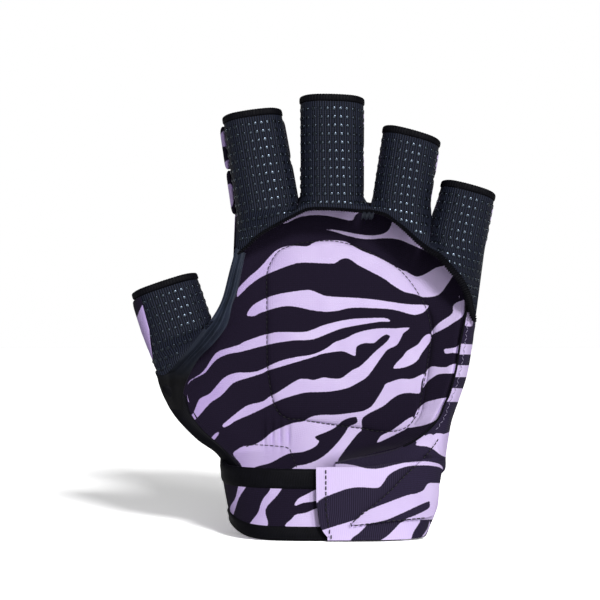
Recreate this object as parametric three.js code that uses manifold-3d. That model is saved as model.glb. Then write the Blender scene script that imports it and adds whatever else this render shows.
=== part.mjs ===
// Left-hand open-palm field hockey glove with half-finger stalls, standing on its cuff.
// Millimetres, +Z up, palm towards -Y, thumb towards -X. The origin is under the middle of the glove.
import * as THREE from 'three';
import { mergeVertices } from 'three/addons/utils/BufferGeometryUtils.js';
import Module from 'manifold-3d';

const wasm = await Module();
wasm.setup();

// Clearances and overruns
const clearance = 0.3;
const layerGap = 0.5;
const guardGap = 0.8;
const hingeClearance = 0.8;
const overrun = 60;
const mergeTolerance = 1e-4;

// Fabric and foam thicknesses
const stallWall = 1.2;
const yokeWall = 1.2;
const liningWall = 1.5;
const coreWall = 7;
const coverWall = 1.2;
const guardThickness = 7;
const guardRimShare = 0.3;
const crownPower = 4;
const panelPower = 6;
const blockThickness = 6.4;

// Knuckle line and finger spacing
const palmWidth = 105;
const knuckleHeight = 148.5;
const middleOffset = 9;
const fingerGap = 0.9;
const ringGap = 3.2;
const littleTuck = 1.2;
const ovalPower = 2.6;

// Cuff
const cuffHeight = 36;
const cuffOffset = 8;
const cuffHalfWidthTop = 45;
const cuffHalfWidthBottom = 42.5;
const cuffHalfDepth = 24;
const cuffWall = 2.2;
const cuffTopBand = 8;
const cuffHem = 4;
const cuffOpenFromDeg = 12;
const cuffOpenToDeg = 312;

// Hand pad: depth of the lining behind the glove's middle plane
const liningDepthAtKnuckles = 10;
const liningDepthAtCuff = 15;
const edgeDepthAtCuff = -1;
const edgeDepthAtKnuckles = 6;
const bowlPowerAtCuff = 4;
const bowlPowerAtKnuckles = 10;
const yokePower = 4;
const yokeDepth = -12.5;

// Each finger stall: width at base and at the open end, length, drop of its base below the
// middle finger's, tilt to the right, place of its palm face and the reach of its foam blocks
const fingers = {
  index: {
    baseWidth: 27.4, tipWidth: 25.6, length: 41, dropHeight: 5.4, tiltDeg: -9.5, palmDepth: -11.5,
    blockFromDeg: 38, blockToDeg: 170, foldDeg: 60,
  },
  middle: {
    baseWidth: 27.4, tipWidth: 27.6, length: 41.4, dropHeight: 0, tiltDeg: 0, palmDepth: -12.5,
    blockFromDeg: 38, blockToDeg: 142, foldDeg: 60,
  },
  ring: {
    baseWidth: 24.8, tipWidth: 25.2, length: 29.5, dropHeight: 2.4, tiltDeg: 9.5, palmDepth: -12,
    blockFromDeg: 38, blockToDeg: 142, foldDeg: 60,
  },
  little: {
    baseWidth: 25.4, tipWidth: 23.8, length: 23.6, dropHeight: 18.5, tiltDeg: 13, palmDepth: -9.5,
    blockFromDeg: 38, blockToDeg: 142, foldDeg: 60,
  },
  thumb: {
    baseWidth: 29.4, tipWidth: 28.6, length: 21.6, dropHeight: 58.5, tiltDeg: -19, palmDepth: -11,
    blockFromDeg: 38, blockToDeg: 170, foldDeg: 45,
  },
};
const stallHalfDepth = 11.4;
const rimHeight = 3;
const rimProud = 0.9;
const rimRoundShare = 0.25;
const thumbReach = 65;

const radians = THREE.MathUtils.degToRad;
const lerp = THREE.MathUtils.lerp;

// Closed mesh to solid and back
function solidOf(geometry) {
  const bare = geometry.clone();
  bare.deleteAttribute('normal');
  bare.deleteAttribute('uv');
  const merged = mergeVertices(bare, mergeTolerance);
  const vertProperties = merged.attributes.position.array;
  const triVerts = new Uint32Array(merged.index.array);
  const made = new wasm.Manifold(new wasm.Mesh({ numProp: 3, vertProperties, triVerts }));
  if (made.volume() > 0) return made;
  return new wasm.Manifold(new wasm.Mesh({ numProp: 3, vertProperties, triVerts: triVerts.reverse() }));
}

function geometryOf(solid) {
  const { vertProperties, triVerts } = solid.getMesh();
  const geometry = new THREE.BufferGeometry();
  geometry.setAttribute('position', new THREE.BufferAttribute(new Float32Array(vertProperties), 3));
  geometry.setIndex(new THREE.BufferAttribute(new Uint32Array(triVerts), 1));
  const flat = geometry.toNonIndexed();
  flat.computeVertexNormals();
  return flat;
}

// A unit block, divided along its three ways, whose points a function bends into place
function bentBlock(steps, place) {
  const geometry = new THREE.BoxGeometry(1, 1, 1, steps[0], steps[1], steps[2] ?? 1);
  geometry.translate(0.5, 0.5, 0.5);
  const position = geometry.attributes.position;
  for (let i = 0; i < position.count; i++) {
    const p = place(position.getX(i), position.getY(i), position.getZ(i));
    position.setXYZ(i, p.x, p.y, p.z);
  }
  return solidOf(geometry);
}

// Point on an oval section, moved out along its normal
function ovalPoint(section, angle, offset) {
  const c = Math.cos(angle);
  const s = Math.sin(angle);
  const along = 2 / ovalPower;
  const across = 2 - along;
  const x = section.a * Math.sign(c) * Math.abs(c) ** along;
  const y = section.b * Math.sign(s) * Math.abs(s) ** along;
  const normal = new THREE.Vector2(
    (Math.sign(c) * Math.abs(c) ** across) / section.a,
    (Math.sign(s) * Math.abs(s) ** across) / section.b,
  ).normalize();
  return new THREE.Vector2(section.x + x + normal.x * offset, section.y + y + normal.y * offset);
}

// Crown of a padded block: full in the middle, drawn in at its sides
function crown(s, t) {
  const round = (1 - Math.abs(2 * s - 1) ** crownPower) * (1 - Math.abs(2 * t - 1) ** crownPower);
  return lerp(guardRimShare, 1, Math.sqrt(round));
}

const even = () => 1;

// Panel that runs round part of an oval tube
function sleevePanel({ sectionAt, fromDeg, toDeg, bottom, top, inner, thickness, steps, fullness = even }) {
  return bentBlock(steps, (s, t, w) => {
    const low = typeof bottom === 'function' ? bottom(s) : bottom;
    const high = typeof top === 'function' ? top(s) : top;
    const z = lerp(low, high, t);
    const offset = inner + w * thickness * fullness(s, t);
    const p = ovalPoint(sectionAt(z), radians(lerp(fromDeg, toDeg, s)), offset);
    return new THREE.Vector3(p.x, p.y, z);
  });
}

// Closed ring round an oval tube, with a rounded rectangular section. The section is first turned
// about an axis one unit inside it, then each point moves to its place beside the oval.
function ovalRing({ sectionAt, bottom, top, inner, outer, steps }) {
  const edge = Math.min(outer - inner, top - bottom) * rimRoundShare;
  const profile = [
    [inner + edge, bottom], [outer - edge, bottom], [outer, bottom + edge], [outer, top - edge],
    [outer - edge, top], [inner + edge, top], [inner, top - edge], [inner + edge, bottom],
  ];
  const points = profile.map(([offset, z]) => new THREE.Vector2(1 + (offset - inner), z));
  const geometry = new THREE.LatheGeometry(points, steps);
  const position = geometry.attributes.position;
  for (let i = 0; i < position.count; i++) {
    const x = position.getX(i);
    const y = position.getZ(i);
    const z = position.getY(i);
    const p = ovalPoint(sectionAt(z), Math.atan2(y, x), Math.hypot(x, y) - 1 + inner);
    position.setXYZ(i, p.x, p.y, z);
  }
  return solidOf(geometry);
}

// One colour and finish for each kind of material
const finishes = {
  knit: { color: '#22262e', roughness: 0.75 },
  binding: { color: '#101417', roughness: 0.7 },
  strip: { color: '#2c3539', roughness: 0.6 },
  zebra: { color: '#dcc9f1', roughness: 0.8 },
  foam: { color: '#3a3a40', roughness: 0.95 },
  elastic: { color: '#2a2431', roughness: 0.85 },
  hook: { color: '#17181b', roughness: 0.9 },
};

function named(name, solid, finish) {
  const material = new THREE.MeshStandardMaterial({ ...finishes[finish], metalness: 0 });
  const mesh = new THREE.Mesh(geometryOf(solid), material);
  mesh.name = name;
  return mesh;
}

// Places of the finger bases, each beside its neighbour
function placeFingers() {
  const { index, middle, ring, little, thumb } = fingers;
  for (const finger of Object.values(fingers)) {
    finger.tilt = radians(finger.tiltDeg);
    finger.z = knuckleHeight - finger.dropHeight;
    finger.reach = (finger.baseWidth / 2) * Math.cos(finger.tilt);
  }
  middle.x = middleOffset;
  index.x = middle.x - middle.reach - fingerGap - index.reach;
  ring.x = middle.x + middle.reach + ringGap + ring.reach;
  little.x = ring.x + ring.reach - littleTuck + little.reach;
  thumb.x = middle.x - thumbReach;
}
placeFingers();

// Corner of a stall's base, in the plane of the hand
function baseCorner(finger, side, below = 0) {
  const across = (side * finger.baseWidth) / 2;
  return new THREE.Vector2(
    finger.x + across * Math.cos(finger.tilt) - below * Math.sin(finger.tilt),
    finger.z - across * Math.sin(finger.tilt) - below * Math.cos(finger.tilt),
  );
}

// A finger stall in its own frame: origin on the palm side of its base, where it folds
function stall(name, finger) {
  const group = new THREE.Group();
  const sectionAt = (z) => ({
    a: lerp(finger.baseWidth, finger.tipWidth, z / finger.length) / 2 - stallWall,
    b: stallHalfDepth - stallWall,
    x: 0,
    y: stallHalfDepth,
  });
  const seamDeg = THREE.MathUtils.radToDeg(clearance / stallHalfDepth) / 2;
  const top = finger.length - clearance;
  const sleeve = { sectionAt, bottom: 0, top, inner: 0, thickness: stallWall, steps: [14, 1] };
  const palm = sleevePanel({ ...sleeve, fromDeg: 180 + seamDeg, toDeg: 360 - seamDeg });
  const back = sleevePanel({ ...sleeve, fromDeg: seamDeg, toDeg: 180 - seamDeg });
  group.add(named(name + '_stall_palm', palm, 'knit'));
  group.add(named(name + '_stall_back', back, 'zebra'));
  const rim = ovalRing({
    sectionAt: () => sectionAt(finger.length), bottom: finger.length, top: finger.length + rimHeight,
    inner: -rimProud, outer: stallWall + rimProud, steps: 28,
  });
  group.add(named(name + '_rim_binding', rim, 'binding'));
  const blockInner = stallWall + clearance;
  const notch = finger.length / 2;
  const blocks = { base: [0, notch - clearance], tip: [notch + clearance, top] };
  for (const [part, [low, high]] of Object.entries(blocks)) {
    const block = sleevePanel({
      sectionAt, fromDeg: finger.blockFromDeg, toDeg: finger.blockToDeg, bottom: low, top: high,
      inner: blockInner, thickness: blockThickness, steps: [12, 5], fullness: crown,
    });
    group.add(named(name + '_guard_' + part, block, 'zebra'));
  }
  group.name = name + '_stall';
  group.userData = { hinge: [1, 0, 0], pivot: [0, 0, 0], range: [0, finger.foldDeg] };
  group.position.set(finger.x, finger.palmDepth, finger.z);
  group.rotation.y = finger.tilt;
  return group;
}

// Outline of the hand pad. Both edges run from the cuff's top corner up to a stall's base corner,
// the thumb-side one by way of the thumb's crotch. They bulge outwards from the straight lines
// between these, by shares of the palm's width: [share of the way up, bulge].
const crotchShare = 0.58;
const crotchGap = 5.6;
const thumbEdgeShares = [
  [0, 0], [0.09, 0.087], [0.2, 0.158], [0.3, 0.17], [0.4, 0.126], [0.5, 0.053], [crotchShare, 0],
  [0.72, -0.023], [1, 0],
];
const littleEdgeShares = [[0, -0.06], [0.25, -0.045], [0.5, -0.035], [0.75, -0.05], [1, -0.075]];

// Value at a place along a table of [place, value] pairs
function tableAt(table, place) {
  const last = table.findIndex(([at]) => at >= place);
  if (last <= 0) return table[last === 0 ? 0 : table.length - 1][1];
  const [from, a] = table[last - 1];
  const [to, b] = table[last];
  return lerp(a, b, (place - from) / (to - from));
}

const cuffTopLeft = new THREE.Vector2(cuffOffset - cuffHalfWidthTop, cuffHeight);
const cuffTopRight = new THREE.Vector2(cuffOffset + cuffHalfWidthTop, cuffHeight);
const crotchX = baseCorner(fingers.thumb, 1).x + crotchGap;
const padTopLeft = baseCorner(fingers.index, -1, hingeClearance);
const padTopRight = baseCorner(fingers.little, 1, hingeClearance);

function thumbEdge(v) {
  const straight = v < crotchShare
    ? lerp(cuffTopLeft.x, crotchX, v / crotchShare)
    : lerp(crotchX, padTopLeft.x, (v - crotchShare) / (1 - crotchShare));
  const x = straight - palmWidth * tableAt(thumbEdgeShares, v);
  return new THREE.Vector2(x, lerp(cuffHeight + clearance, padTopLeft.y, v));
}

function littleEdge(v) {
  const x = lerp(cuffTopRight.x, padTopRight.x, v) + palmWidth * tableAt(littleEdgeShares, v);
  return new THREE.Vector2(x, lerp(cuffHeight + clearance, padTopRight.y, v));
}

const archShare = 0.95;

// Place in the plane of the hand: u runs from the thumb side (-1) to the little finger side (1),
// v from the cuff (0) to the knuckles (1). The top edge arches over the finger bases.
function handPoint(u, v) {
  const share = (u + 1) / 2;
  const left = thumbEdge(v);
  const right = littleEdge(v);
  const arch = v * (knuckleHeight - padTopLeft.y) * (1 - u ** crownPower) * archShare;
  return new THREE.Vector2(lerp(left.x, right.x, share), lerp(left.y, right.y, share) + arch);
}

// Depth of the lining's face at the pad's edges, and all over: a bowl whose sides come forward
const edgeDepth = (v) => lerp(edgeDepthAtCuff, edgeDepthAtKnuckles, v);

function liningDepth(u, v) {
  const middle = lerp(liningDepthAtCuff, liningDepthAtKnuckles, v);
  return lerp(middle, edgeDepth(v), Math.abs(u) ** lerp(bowlPowerAtCuff, bowlPowerAtKnuckles, v));
}

// Patch of the hand pad, between two depths behind the lining's face. It lies over shares of the
// hand, with its columns closer together towards both sides.
function padPatch({ shares: { u: [u0, u1], v: [v0, v1] }, inner, thickness, steps, fullness = even }) {
  return bentBlock(steps, (s, t, w) => {
    const u = lerp(u0, u1, (1 - Math.cos(Math.PI * s)) / 2);
    const v = lerp(v0, v1, t);
    const p = handPoint(u, v);
    const depth = liningDepth(u, v) + inner + w * thickness * fullness(s, t);
    return new THREE.Vector3(p.x, depth, p.y);
  });
}

// Space that a stall folds in, cut from what lies round its base
function stallSpace(finger) {
  const width = finger.baseWidth + 2 * hingeClearance;
  const box = new THREE.BoxGeometry(width, 2 * overrun, overrun);
  box.translate(0, 0, overrun / 2 - hingeClearance);
  const holder = new THREE.Object3D();
  holder.position.set(finger.x, 0, finger.z);
  holder.rotation.y = finger.tilt;
  holder.updateMatrix();
  box.applyMatrix4(holder.matrix);
  return solidOf(box);
}

// Prism through the hand along Y, over a closed outline in the plane of the hand
function outlinePrism(outline) {
  const depth = 2 * overrun;
  const prism = new THREE.ExtrudeGeometry(new THREE.Shape(outline), { depth, bevelEnabled: false });
  prism.rotateX(Math.PI / 2);
  prism.translate(0, overrun, 0);
  return solidOf(prism);
}

// Everything above the line of the finger bases
function aboveFingers() {
  const { index, middle, ring, little } = fingers;
  const bases = [index, middle, ring, little].flatMap((finger) => (
    [-1, 1].map((side) => baseCorner(finger, side, hingeClearance))
  ));
  const left = bases[0].x - overrun;
  const right = bases.at(-1).x + overrun;
  const top = knuckleHeight + overrun;
  return outlinePrism([
    new THREE.Vector2(left, bases[0].y), ...bases, new THREE.Vector2(right, bases.at(-1).y),
    new THREE.Vector2(right, top), new THREE.Vector2(left, top),
  ]);
}
const stallSpaces = [...Object.values(fingers).map(stallSpace), aboveFingers()];
const clearOfStalls = (solid) => stallSpaces.reduce((rest, space) => rest.subtract(space), solid);

// Hand pad: lining, foam core and outer cover, with the raised quilted panel on the lining
const panelWidth = 72;
const panelHeight = 82;
const panelOffset = 6;
const panelRise = 13;
const panelShares = [
  [-0.98, 0.44], [-1.01, 0.84], [-0.86, 0.96], [-0.5, 1], [0, 1], [0.39, 0.9], [0.87, 0.68], [0.99, 0.53],
  [0.94, 0.32], [0.93, 0.16], [0.81, 0.07], [0.6, 0.01], [0.03, 0.02], [-0.56, 0.06], [-0.85, 0.12],
  [-0.96, 0.2],
];
const panelSteps = 44;
const panelThickness = 2.6;
const panelPatchShares = { u: [-0.86, 0.8], v: [0.1, 1] };
const rollShares = { u: [0.86, 0.95], v: [0.12, 0.8] };
const rollThickness = 3;
const wholeShares = { u: [-1, 1], v: [0, 1.05] };
const coreInner = liningWall + layerGap;
const coverInner = coreInner + coreWall + layerGap;
const guardInner = coverInner + coverWall + guardGap;

function panelOutline() {
  const points = panelShares.map(([across, up]) => new THREE.Vector3(
    middleOffset + panelOffset + (across * panelWidth) / 2,
    cuffHeight + panelRise + up * panelHeight,
    0,
  ));
  const closed = new THREE.CatmullRomCurve3(points, true);
  return closed.getPoints(panelSteps).slice(0, -1).map((p) => new THREE.Vector2(p.x, p.y));
}

// The quilted panel swells from its stitched edge to its middle
function panelFullness(s, t) {
  const reach = Math.min(1, Math.hypot(2 * s - 1, 2 * t - 1));
  return lerp(guardRimShare, 1, Math.sqrt(1 - reach ** panelPower));
}

function handPad() {
  const group = new THREE.Group();
  const whole = { shares: wholeShares, steps: [14, 10] };
  const lining = clearOfStalls(padPatch({ ...whole, inner: 0, thickness: liningWall }));
  const core = clearOfStalls(padPatch({ ...whole, inner: coreInner, thickness: coreWall }));
  const cover = clearOfStalls(padPatch({ ...whole, inner: coverInner, thickness: coverWall }));
  const panel = padPatch({
    shares: panelPatchShares, inner: -guardGap, thickness: -panelThickness, steps: [14, 14],
    fullness: panelFullness,
  });
  const roll = padPatch({
    shares: rollShares, inner: -guardGap, thickness: -rollThickness, steps: [4, 12], fullness: crown,
  });
  group.add(named('palm_lining', lining, 'zebra'));
  group.add(named('hand_pad_foam_core', core, 'foam'));
  group.add(named('hand_pad_outer_cover', cover, 'zebra'));
  group.add(named('quilted_palm_panel', panel.intersect(outlinePrism(panelOutline())), 'zebra'));
  group.add(named('palm_side_roll', roll, 'zebra'));
  return group;
}

// Foam blocks on the outer cover, in shares of the pad
const guardShares = {
  knuckle_guard_index_middle: { u: [-0.93, 0.02], v: [0.83, 0.99] },
  knuckle_guard_ring_little: { u: [0.06, 0.8], v: [0.78, 0.94] },
  hand_back_guard_upper: { u: [-0.9, 0.8], v: [0.56, 0.76] },
  hand_back_guard_lower: { u: [-0.85, 0.8], v: [0.31, 0.53] },
  wrist_guard: { u: [-0.8, 0.78], v: [0.05, 0.28] },
};

function backGuards() {
  const group = new THREE.Group();
  for (const [name, shares] of Object.entries(guardShares)) {
    const guard = padPatch({
      shares, inner: guardInner, thickness: guardThickness, steps: [12, 5], fullness: crown,
    });
    group.add(named(name, clearOfStalls(guard), 'zebra'));
  }
  return group;
}

// Side guard: a padded gutter down the little-finger edge
const sideGuardRadius = 13;
const sideGuardThickness = 5.5;
const sideGuardFromDeg = -66;
const sideGuardToDeg = 52;
const sideGuardDepth = 4;
const sideGuardGap = 2.2;

function sideGuard() {
  const bottom = cuffHeight + clearance;
  const top = yokeEdges().lower.at(-1).y - edgeHeight - 2 * clearance;
  const shareAt = (z) => (z - bottom) / (padTopRight.y - bottom);
  const sectionAt = (z) => ({
    a: sideGuardRadius,
    b: sideGuardRadius,
    x: littleEdge(shareAt(z)).x - sideGuardRadius + sideGuardGap,
    y: sideGuardDepth + edgeDepth(shareAt(z)) - edgeDepthAtCuff,
  });
  const guard = sleevePanel({
    sectionAt, fromDeg: sideGuardFromDeg, toDeg: sideGuardToDeg, bottom, top, inner: 0,
    thickness: sideGuardThickness, steps: [9, 12], fullness: crown,
  });
  return named('little_finger_side_guard', clearOfStalls(guard), 'zebra');
}

// Strip between two edges, each a list of points. Its wall lies behind them.
function strip({ near, far, wall, steps, fullness = even, inner = 0 }) {
  const at = (edge, s) => {
    const place = s * (edge.length - 1);
    const k = Math.min(edge.length - 2, Math.floor(place));
    return edge[k].clone().lerp(edge[k + 1], place - k);
  };
  return bentBlock(steps, (s, t, w) => {
    const p = at(near, s).lerp(at(far, s), t);
    p.y += inner + w * wall * fullness(s, t);
    return p;
  });
}

const spot = (plane, depth) => new THREE.Vector3(plane.x, depth, plane.y);

// Knit yoke under the finger bases, and its overlocked free edge
const yokeReach = 3.4;
const yokeDrop = 24;

// Stations along the yoke: finger, side of its base from -1 to 1, and how far the free edge drops
// below it. The last one draws its free edge in towards the palm.
const yokeShares = [
  ['index', -1, 0.32], ['index', -0.3, 0.2], ['index', 0.4, 0.1], ['index', 1, 0.04], ['middle', -1, 0],
  ['middle', 0, 0], ['middle', 1, 0.02], ['ring', -1, 0.02], ['ring', 0, 0.12], ['ring', 0.62, 0.3],
  ['little', -1.14, 0.02], ['little', -0.5, 0.1], ['little', 0, 0.22], ['little', 0.5, 0.42],
  ['little', 1, 0.9],
];
const yokeTailShare = 0.14;
const edgeHeight = 1.8;
const edgeWall = 2.2;
const yokeEdgeDepth = -3.4;
const yokeSteps = [42, 1];

// Depth of the yoke's palm face: flat over the fingers, falling back at both sides
function yokeDepthAt(x) {
  const half = (padTopRight.x - padTopLeft.x) / 2;
  const middle = (padTopRight.x + padTopLeft.x) / 2;
  const share = Math.min(1, Math.abs((x - middle) / half));
  return lerp(yokeDepth, yokeEdgeDepth, share ** yokePower);
}

function yokeEdges() {
  const upper = yokeShares.map(([name, side]) => baseCorner(fingers[name], side, hingeClearance));
  const lower = upper.map((p, i) => new THREE.Vector2(p.x, p.y - yokeReach - yokeDrop * yokeShares[i][2]));
  lower.at(-1).x -= yokeTailShare * fingers.little.baseWidth;
  return { upper, lower };
}

function yoke() {
  const group = new THREE.Group();
  const { upper, lower } = yokeEdges();
  const onFace = (points, drop = 0) => (
    points.map((p) => spot(new THREE.Vector2(p.x, p.y - drop), yokeDepthAt(p.x)))
  );
  const knit = strip({ near: onFace(upper), far: onFace(lower), wall: yokeWall, steps: yokeSteps });
  const edge = strip({
    near: onFace(lower, clearance), far: onFace(lower, clearance + edgeHeight), wall: edgeWall,
    steps: yokeSteps, inner: (yokeWall - edgeWall) / 2,
  });
  group.add(named('finger_root_yoke', clearOfStalls(knit), 'knit'));
  group.add(named('yoke_overlock_edge', clearOfStalls(edge), 'binding'));
  return group;
}

// Bands along the thumb-side edge of the pad. Tables give shares of a width or a depth along the band.
const webWidth = 5;
const webWall = 1.4;
const webDepth = -8.5;
const webFromShare = 0.26;
const webToShare = 0.88;
const webCrotchShare = 0.6;
const webWidthShares = [[0, 0.4], [0.3, 0.8], [0.6, 1], [1, 0.8]];
const webDepthShares = [[0, 0.42], [0.25, 0.95], [0.75, 1], [1, 0.7]];
const gussetWidth = 4.2;
const edgeBandWidth = 2.4;
const bandLap = 1.2;
const edgeStepShare = 0.02;

// Point beside the pad's thumb edge, a distance outwards from it
function besideThumbEdge(v, distance) {
  const before = thumbEdge(v - edgeStepShare);
  const after = thumbEdge(v + edgeStepShare);
  const outwards = new THREE.Vector2(before.y - after.y, after.x - before.x).normalize();
  return thumbEdge(v).addScaledVector(outwards, distance);
}

function edgeLine({ from, to, stations, distanceAt, depthAt }) {
  return Array.from({ length: stations + 1 }, (_, i) => {
    const share = i / stations;
    return spot(besideThumbEdge(lerp(from, to, share), distanceAt(share)), depthAt(share));
  });
}

function thumbSide() {
  const group = new THREE.Group();
  const webSpan = { from: webFromShare, to: webToShare, stations: 20 };
  const depthAt = (share) => webDepth * tableAt(webDepthShares, share);
  const widthAt = (share) => webWidth * tableAt(webWidthShares, share);
  const web = strip({
    near: edgeLine({ ...webSpan, distanceAt: () => -bandLap, depthAt }),
    far: edgeLine({ ...webSpan, distanceAt: widthAt, depthAt }),
    wall: webWall, steps: [20, 1],
  });
  const webShareAt = (share) => (
    (lerp(webCrotchShare, webToShare, share) - webFromShare) / (webToShare - webFromShare)
  );
  const gussetSpan = { from: webCrotchShare, to: webToShare, stations: 10 };
  const gusset = strip({
    near: edgeLine({
      ...gussetSpan, distanceAt: (share) => widthAt(webShareAt(share)) + clearance,
      depthAt: (share) => depthAt(webShareAt(share)),
    }),
    far: edgeLine({
      ...gussetSpan, distanceAt: (share) => widthAt(webShareAt(share)) + gussetWidth * (1 - share / 2),
      depthAt: (share) => edgeDepth(lerp(webCrotchShare, webToShare, share)),
    }),
    wall: webWall, steps: [10, 3],
  });
  const bandSpan = { from: edgeStepShare, to: webFromShare - edgeStepShare / 2, stations: 10 };
  const bandDepth = (share) => edgeDepth(lerp(bandSpan.from, bandSpan.to, share)) - webWall - layerGap;
  const band = strip({
    near: edgeLine({ ...bandSpan, distanceAt: () => -bandLap, depthAt: bandDepth }),
    far: edgeLine({ ...bandSpan, distanceAt: () => edgeBandWidth, depthAt: bandDepth }),
    wall: webWall, steps: [20, 1],
  });
  group.add(named('thumb_web_strip', clearOfStalls(web), 'strip'));
  group.add(named('thumb_web_gusset', clearOfStalls(gusset), 'strip'));
  group.add(named('lining_edge_binding', clearOfStalls(band), 'binding'));
  return group;
}

// Root of the thumb: knit towards the palm and a foam block behind it
const rootGuardThickness = 6;
const rootGuardDepth = 5;
const rootEdgeDepth = -2;
const rootSeamGap = 2.6;
const rootBulge = 2;
const rootSteps = [16, 4];
const rootFootShare = 0.2;
const rootInnerShares = [0.48, 0.4, 0.33, webFromShare];
const rootDepthShares = [1, 1, 0.95, 0.8, 0.45];
const rootSeamShares = [0.5, 0.4, 0.22];
const rootTopShare = 0.8;

function thumbRoot() {
  const group = new THREE.Group();
  const { thumb } = fingers;
  const outerTop = baseCorner(thumb, -1, hingeClearance);
  const foot = besideThumbEdge(rootFootShare, edgeBandWidth + clearance);
  const waist = outerTop.clone().lerp(foot, 0.5).add(new THREE.Vector2(-rootBulge, 0));
  const webEdge = (v) => {
    const share = (v - webFromShare) / (webToShare - webFromShare);
    return besideThumbEdge(v, webWidth * tableAt(webWidthShares, share) + 3 * clearance);
  };
  const inner = [baseCorner(thumb, rootTopShare, hingeClearance), ...rootInnerShares.map(webEdge)];
  const outer = [outerTop, outerTop.clone().lerp(waist, 0.5), waist, waist.clone().lerp(foot, 0.5), foot];
  const knit = strip({
    near: outer.map((p) => spot(p, rootEdgeDepth)),
    far: inner.map((p, i) => spot(p, webDepth * rootDepthShares[i])),
    wall: stallWall, steps: rootSteps,
  });
  const seam = rootSeamShares.map((v) => besideThumbEdge(v, rootSeamGap));
  const guard = strip({
    near: [outerTop, waist, foot].map((p) => spot(p, rootGuardDepth - rootSeamGap)),
    far: seam.map((p) => spot(p, rootGuardDepth)),
    wall: rootGuardThickness, steps: rootSteps, fullness: crown,
  });
  group.add(named('thumb_root_palm', clearOfStalls(knit), 'knit'));
  group.add(named('thumb_root_guard', clearOfStalls(guard), 'zebra'));
  return group;
}

// Cuff: an open band with a binding at its top and its hem, closed by the strap
function cuffSection(z) {
  return {
    a: lerp(cuffHalfWidthBottom, cuffHalfWidthTop, z / cuffHeight),
    b: cuffHalfDepth,
    x: cuffOffset,
    y: 0,
  };
}
const cuffRound = { sectionAt: cuffSection, fromDeg: cuffOpenFromDeg, toDeg: cuffOpenToDeg };
const bindingProud = 0.5;
const strapBottom = 1.7;
const strapTop = 32;
const patchHeight = 18;
const patchLap = 1;
const patchLapDeg = 2;
const patchMiddle = (strapBottom + strapTop) / 2;
const seamLapDeg = 1;
const foldWallShare = 1.3;
const strapWall = 2;
const hookWall = 1.1;
const loopWall = 0.9;
const loopFromDeg = 262;
const loopToDeg = 296;
const strapFromDeg = 263;
const strapToDeg = 344;
const tabToDeg = 268.5;
const tongueWall = 1.2;
const panelTipDeg = 280;
const panelLowShares = [[0, 0.26], [0.3, 0.18], [1, 0.12]];
const panelHighShares = [[0, 0.3], [0.8, 0.98], [1, 0.98]];
const strapOpenDeg = 110;

function cuff() {
  const group = new THREE.Group();
  const band = sleevePanel({
    ...cuffRound, bottom: cuffHem + clearance, top: cuffHeight - cuffTopBand - clearance,
    inner: -cuffWall, thickness: cuffWall, steps: [40, 1],
  });
  const top = sleevePanel({
    ...cuffRound, bottom: cuffHeight - cuffTopBand, top: cuffHeight,
    inner: -cuffWall - bindingProud, thickness: cuffWall + bindingProud, steps: [40, 1],
  });
  const hem = sleevePanel({
    ...cuffRound, bottom: 0, top: cuffHem,
    inner: -cuffWall - bindingProud, thickness: cuffWall + bindingProud, steps: [40, 1],
  });
  const gusset = sleevePanel({
    sectionAt: cuffSection, bottom: 0, top: cuffHeight,
    fromDeg: strapToDeg + 2 * seamLapDeg - 360, toDeg: cuffOpenFromDeg - seamLapDeg,
    inner: -cuffWall, thickness: cuffWall, steps: [4, 1],
  });
  const loop = sleevePanel({
    sectionAt: cuffSection, fromDeg: loopFromDeg, toDeg: loopToDeg,
    bottom: patchMiddle - patchHeight / 2, top: patchMiddle + patchHeight / 2,
    inner: clearance, thickness: loopWall, steps: [8, 1],
  });
  group.add(named('cuff_band', band, 'zebra'));
  group.add(named('cuff_top_binding', top, 'binding'));
  group.add(named('cuff_hem_binding', hem, 'binding'));
  group.add(named('cuff_side_gusset', gusset, 'elastic'));
  group.add(named('cuff_loop_patch', loop, 'hook'));
  return group;
}

// Wrist strap, hinged at the little-finger side, with its hook patch, folded end and side panel
function strap() {
  const group = new THREE.Group();
  const hookInner = 2 * clearance + loopWall;
  const strapInner = hookInner + hookWall + clearance;
  const around = { sectionAt: cuffSection, inner: strapInner, bottom: strapBottom, top: strapTop };
  const hook = sleevePanel({
    sectionAt: cuffSection, fromDeg: loopFromDeg + patchLapDeg, toDeg: loopToDeg - patchLapDeg,
    bottom: patchMiddle - patchHeight / 2 + patchLap, top: patchMiddle + patchHeight / 2 - patchLap,
    inner: hookInner, thickness: hookWall, steps: [8, 1],
  });
  const band = sleevePanel({
    ...around, fromDeg: tabToDeg + seamLapDeg / 2, toDeg: strapToDeg, thickness: strapWall, steps: [20, 1],
  });
  const tab = sleevePanel({
    ...around, fromDeg: strapFromDeg, toDeg: tabToDeg, thickness: strapWall * foldWallShare, steps: [2, 4],
  });
  const tongue = sleevePanel({
    ...around, fromDeg: panelTipDeg, toDeg: strapToDeg,
    bottom: (s) => strapTop * tableAt(panelLowShares, s), top: (s) => strapTop * tableAt(panelHighShares, s),
    inner: strapInner + strapWall + clearance, thickness: tongueWall, steps: [16, 3],
  });
  const end = ovalPoint(cuffSection(cuffHeight / 2), radians(strapToDeg), strapInner);
  group.name = 'strap';
  group.userData = { hinge: [0, 0, 1], pivot: [end.x, end.y, 0], range: [0, strapOpenDeg] };
  group.add(named('wrist_strap', band, 'elastic'));
  group.add(named('strap_folded_end', tab, 'elastic'));
  group.add(named('strap_side_panel', tongue, 'zebra'));
  group.add(named('strap_hook_patch', hook, 'hook'));
  return group;
}

// Bar tack that closes the web between middle and ring finger
const tackWidth = 4.6;
const tackDepth = 2.4;
const tackHeight = 3;

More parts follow.
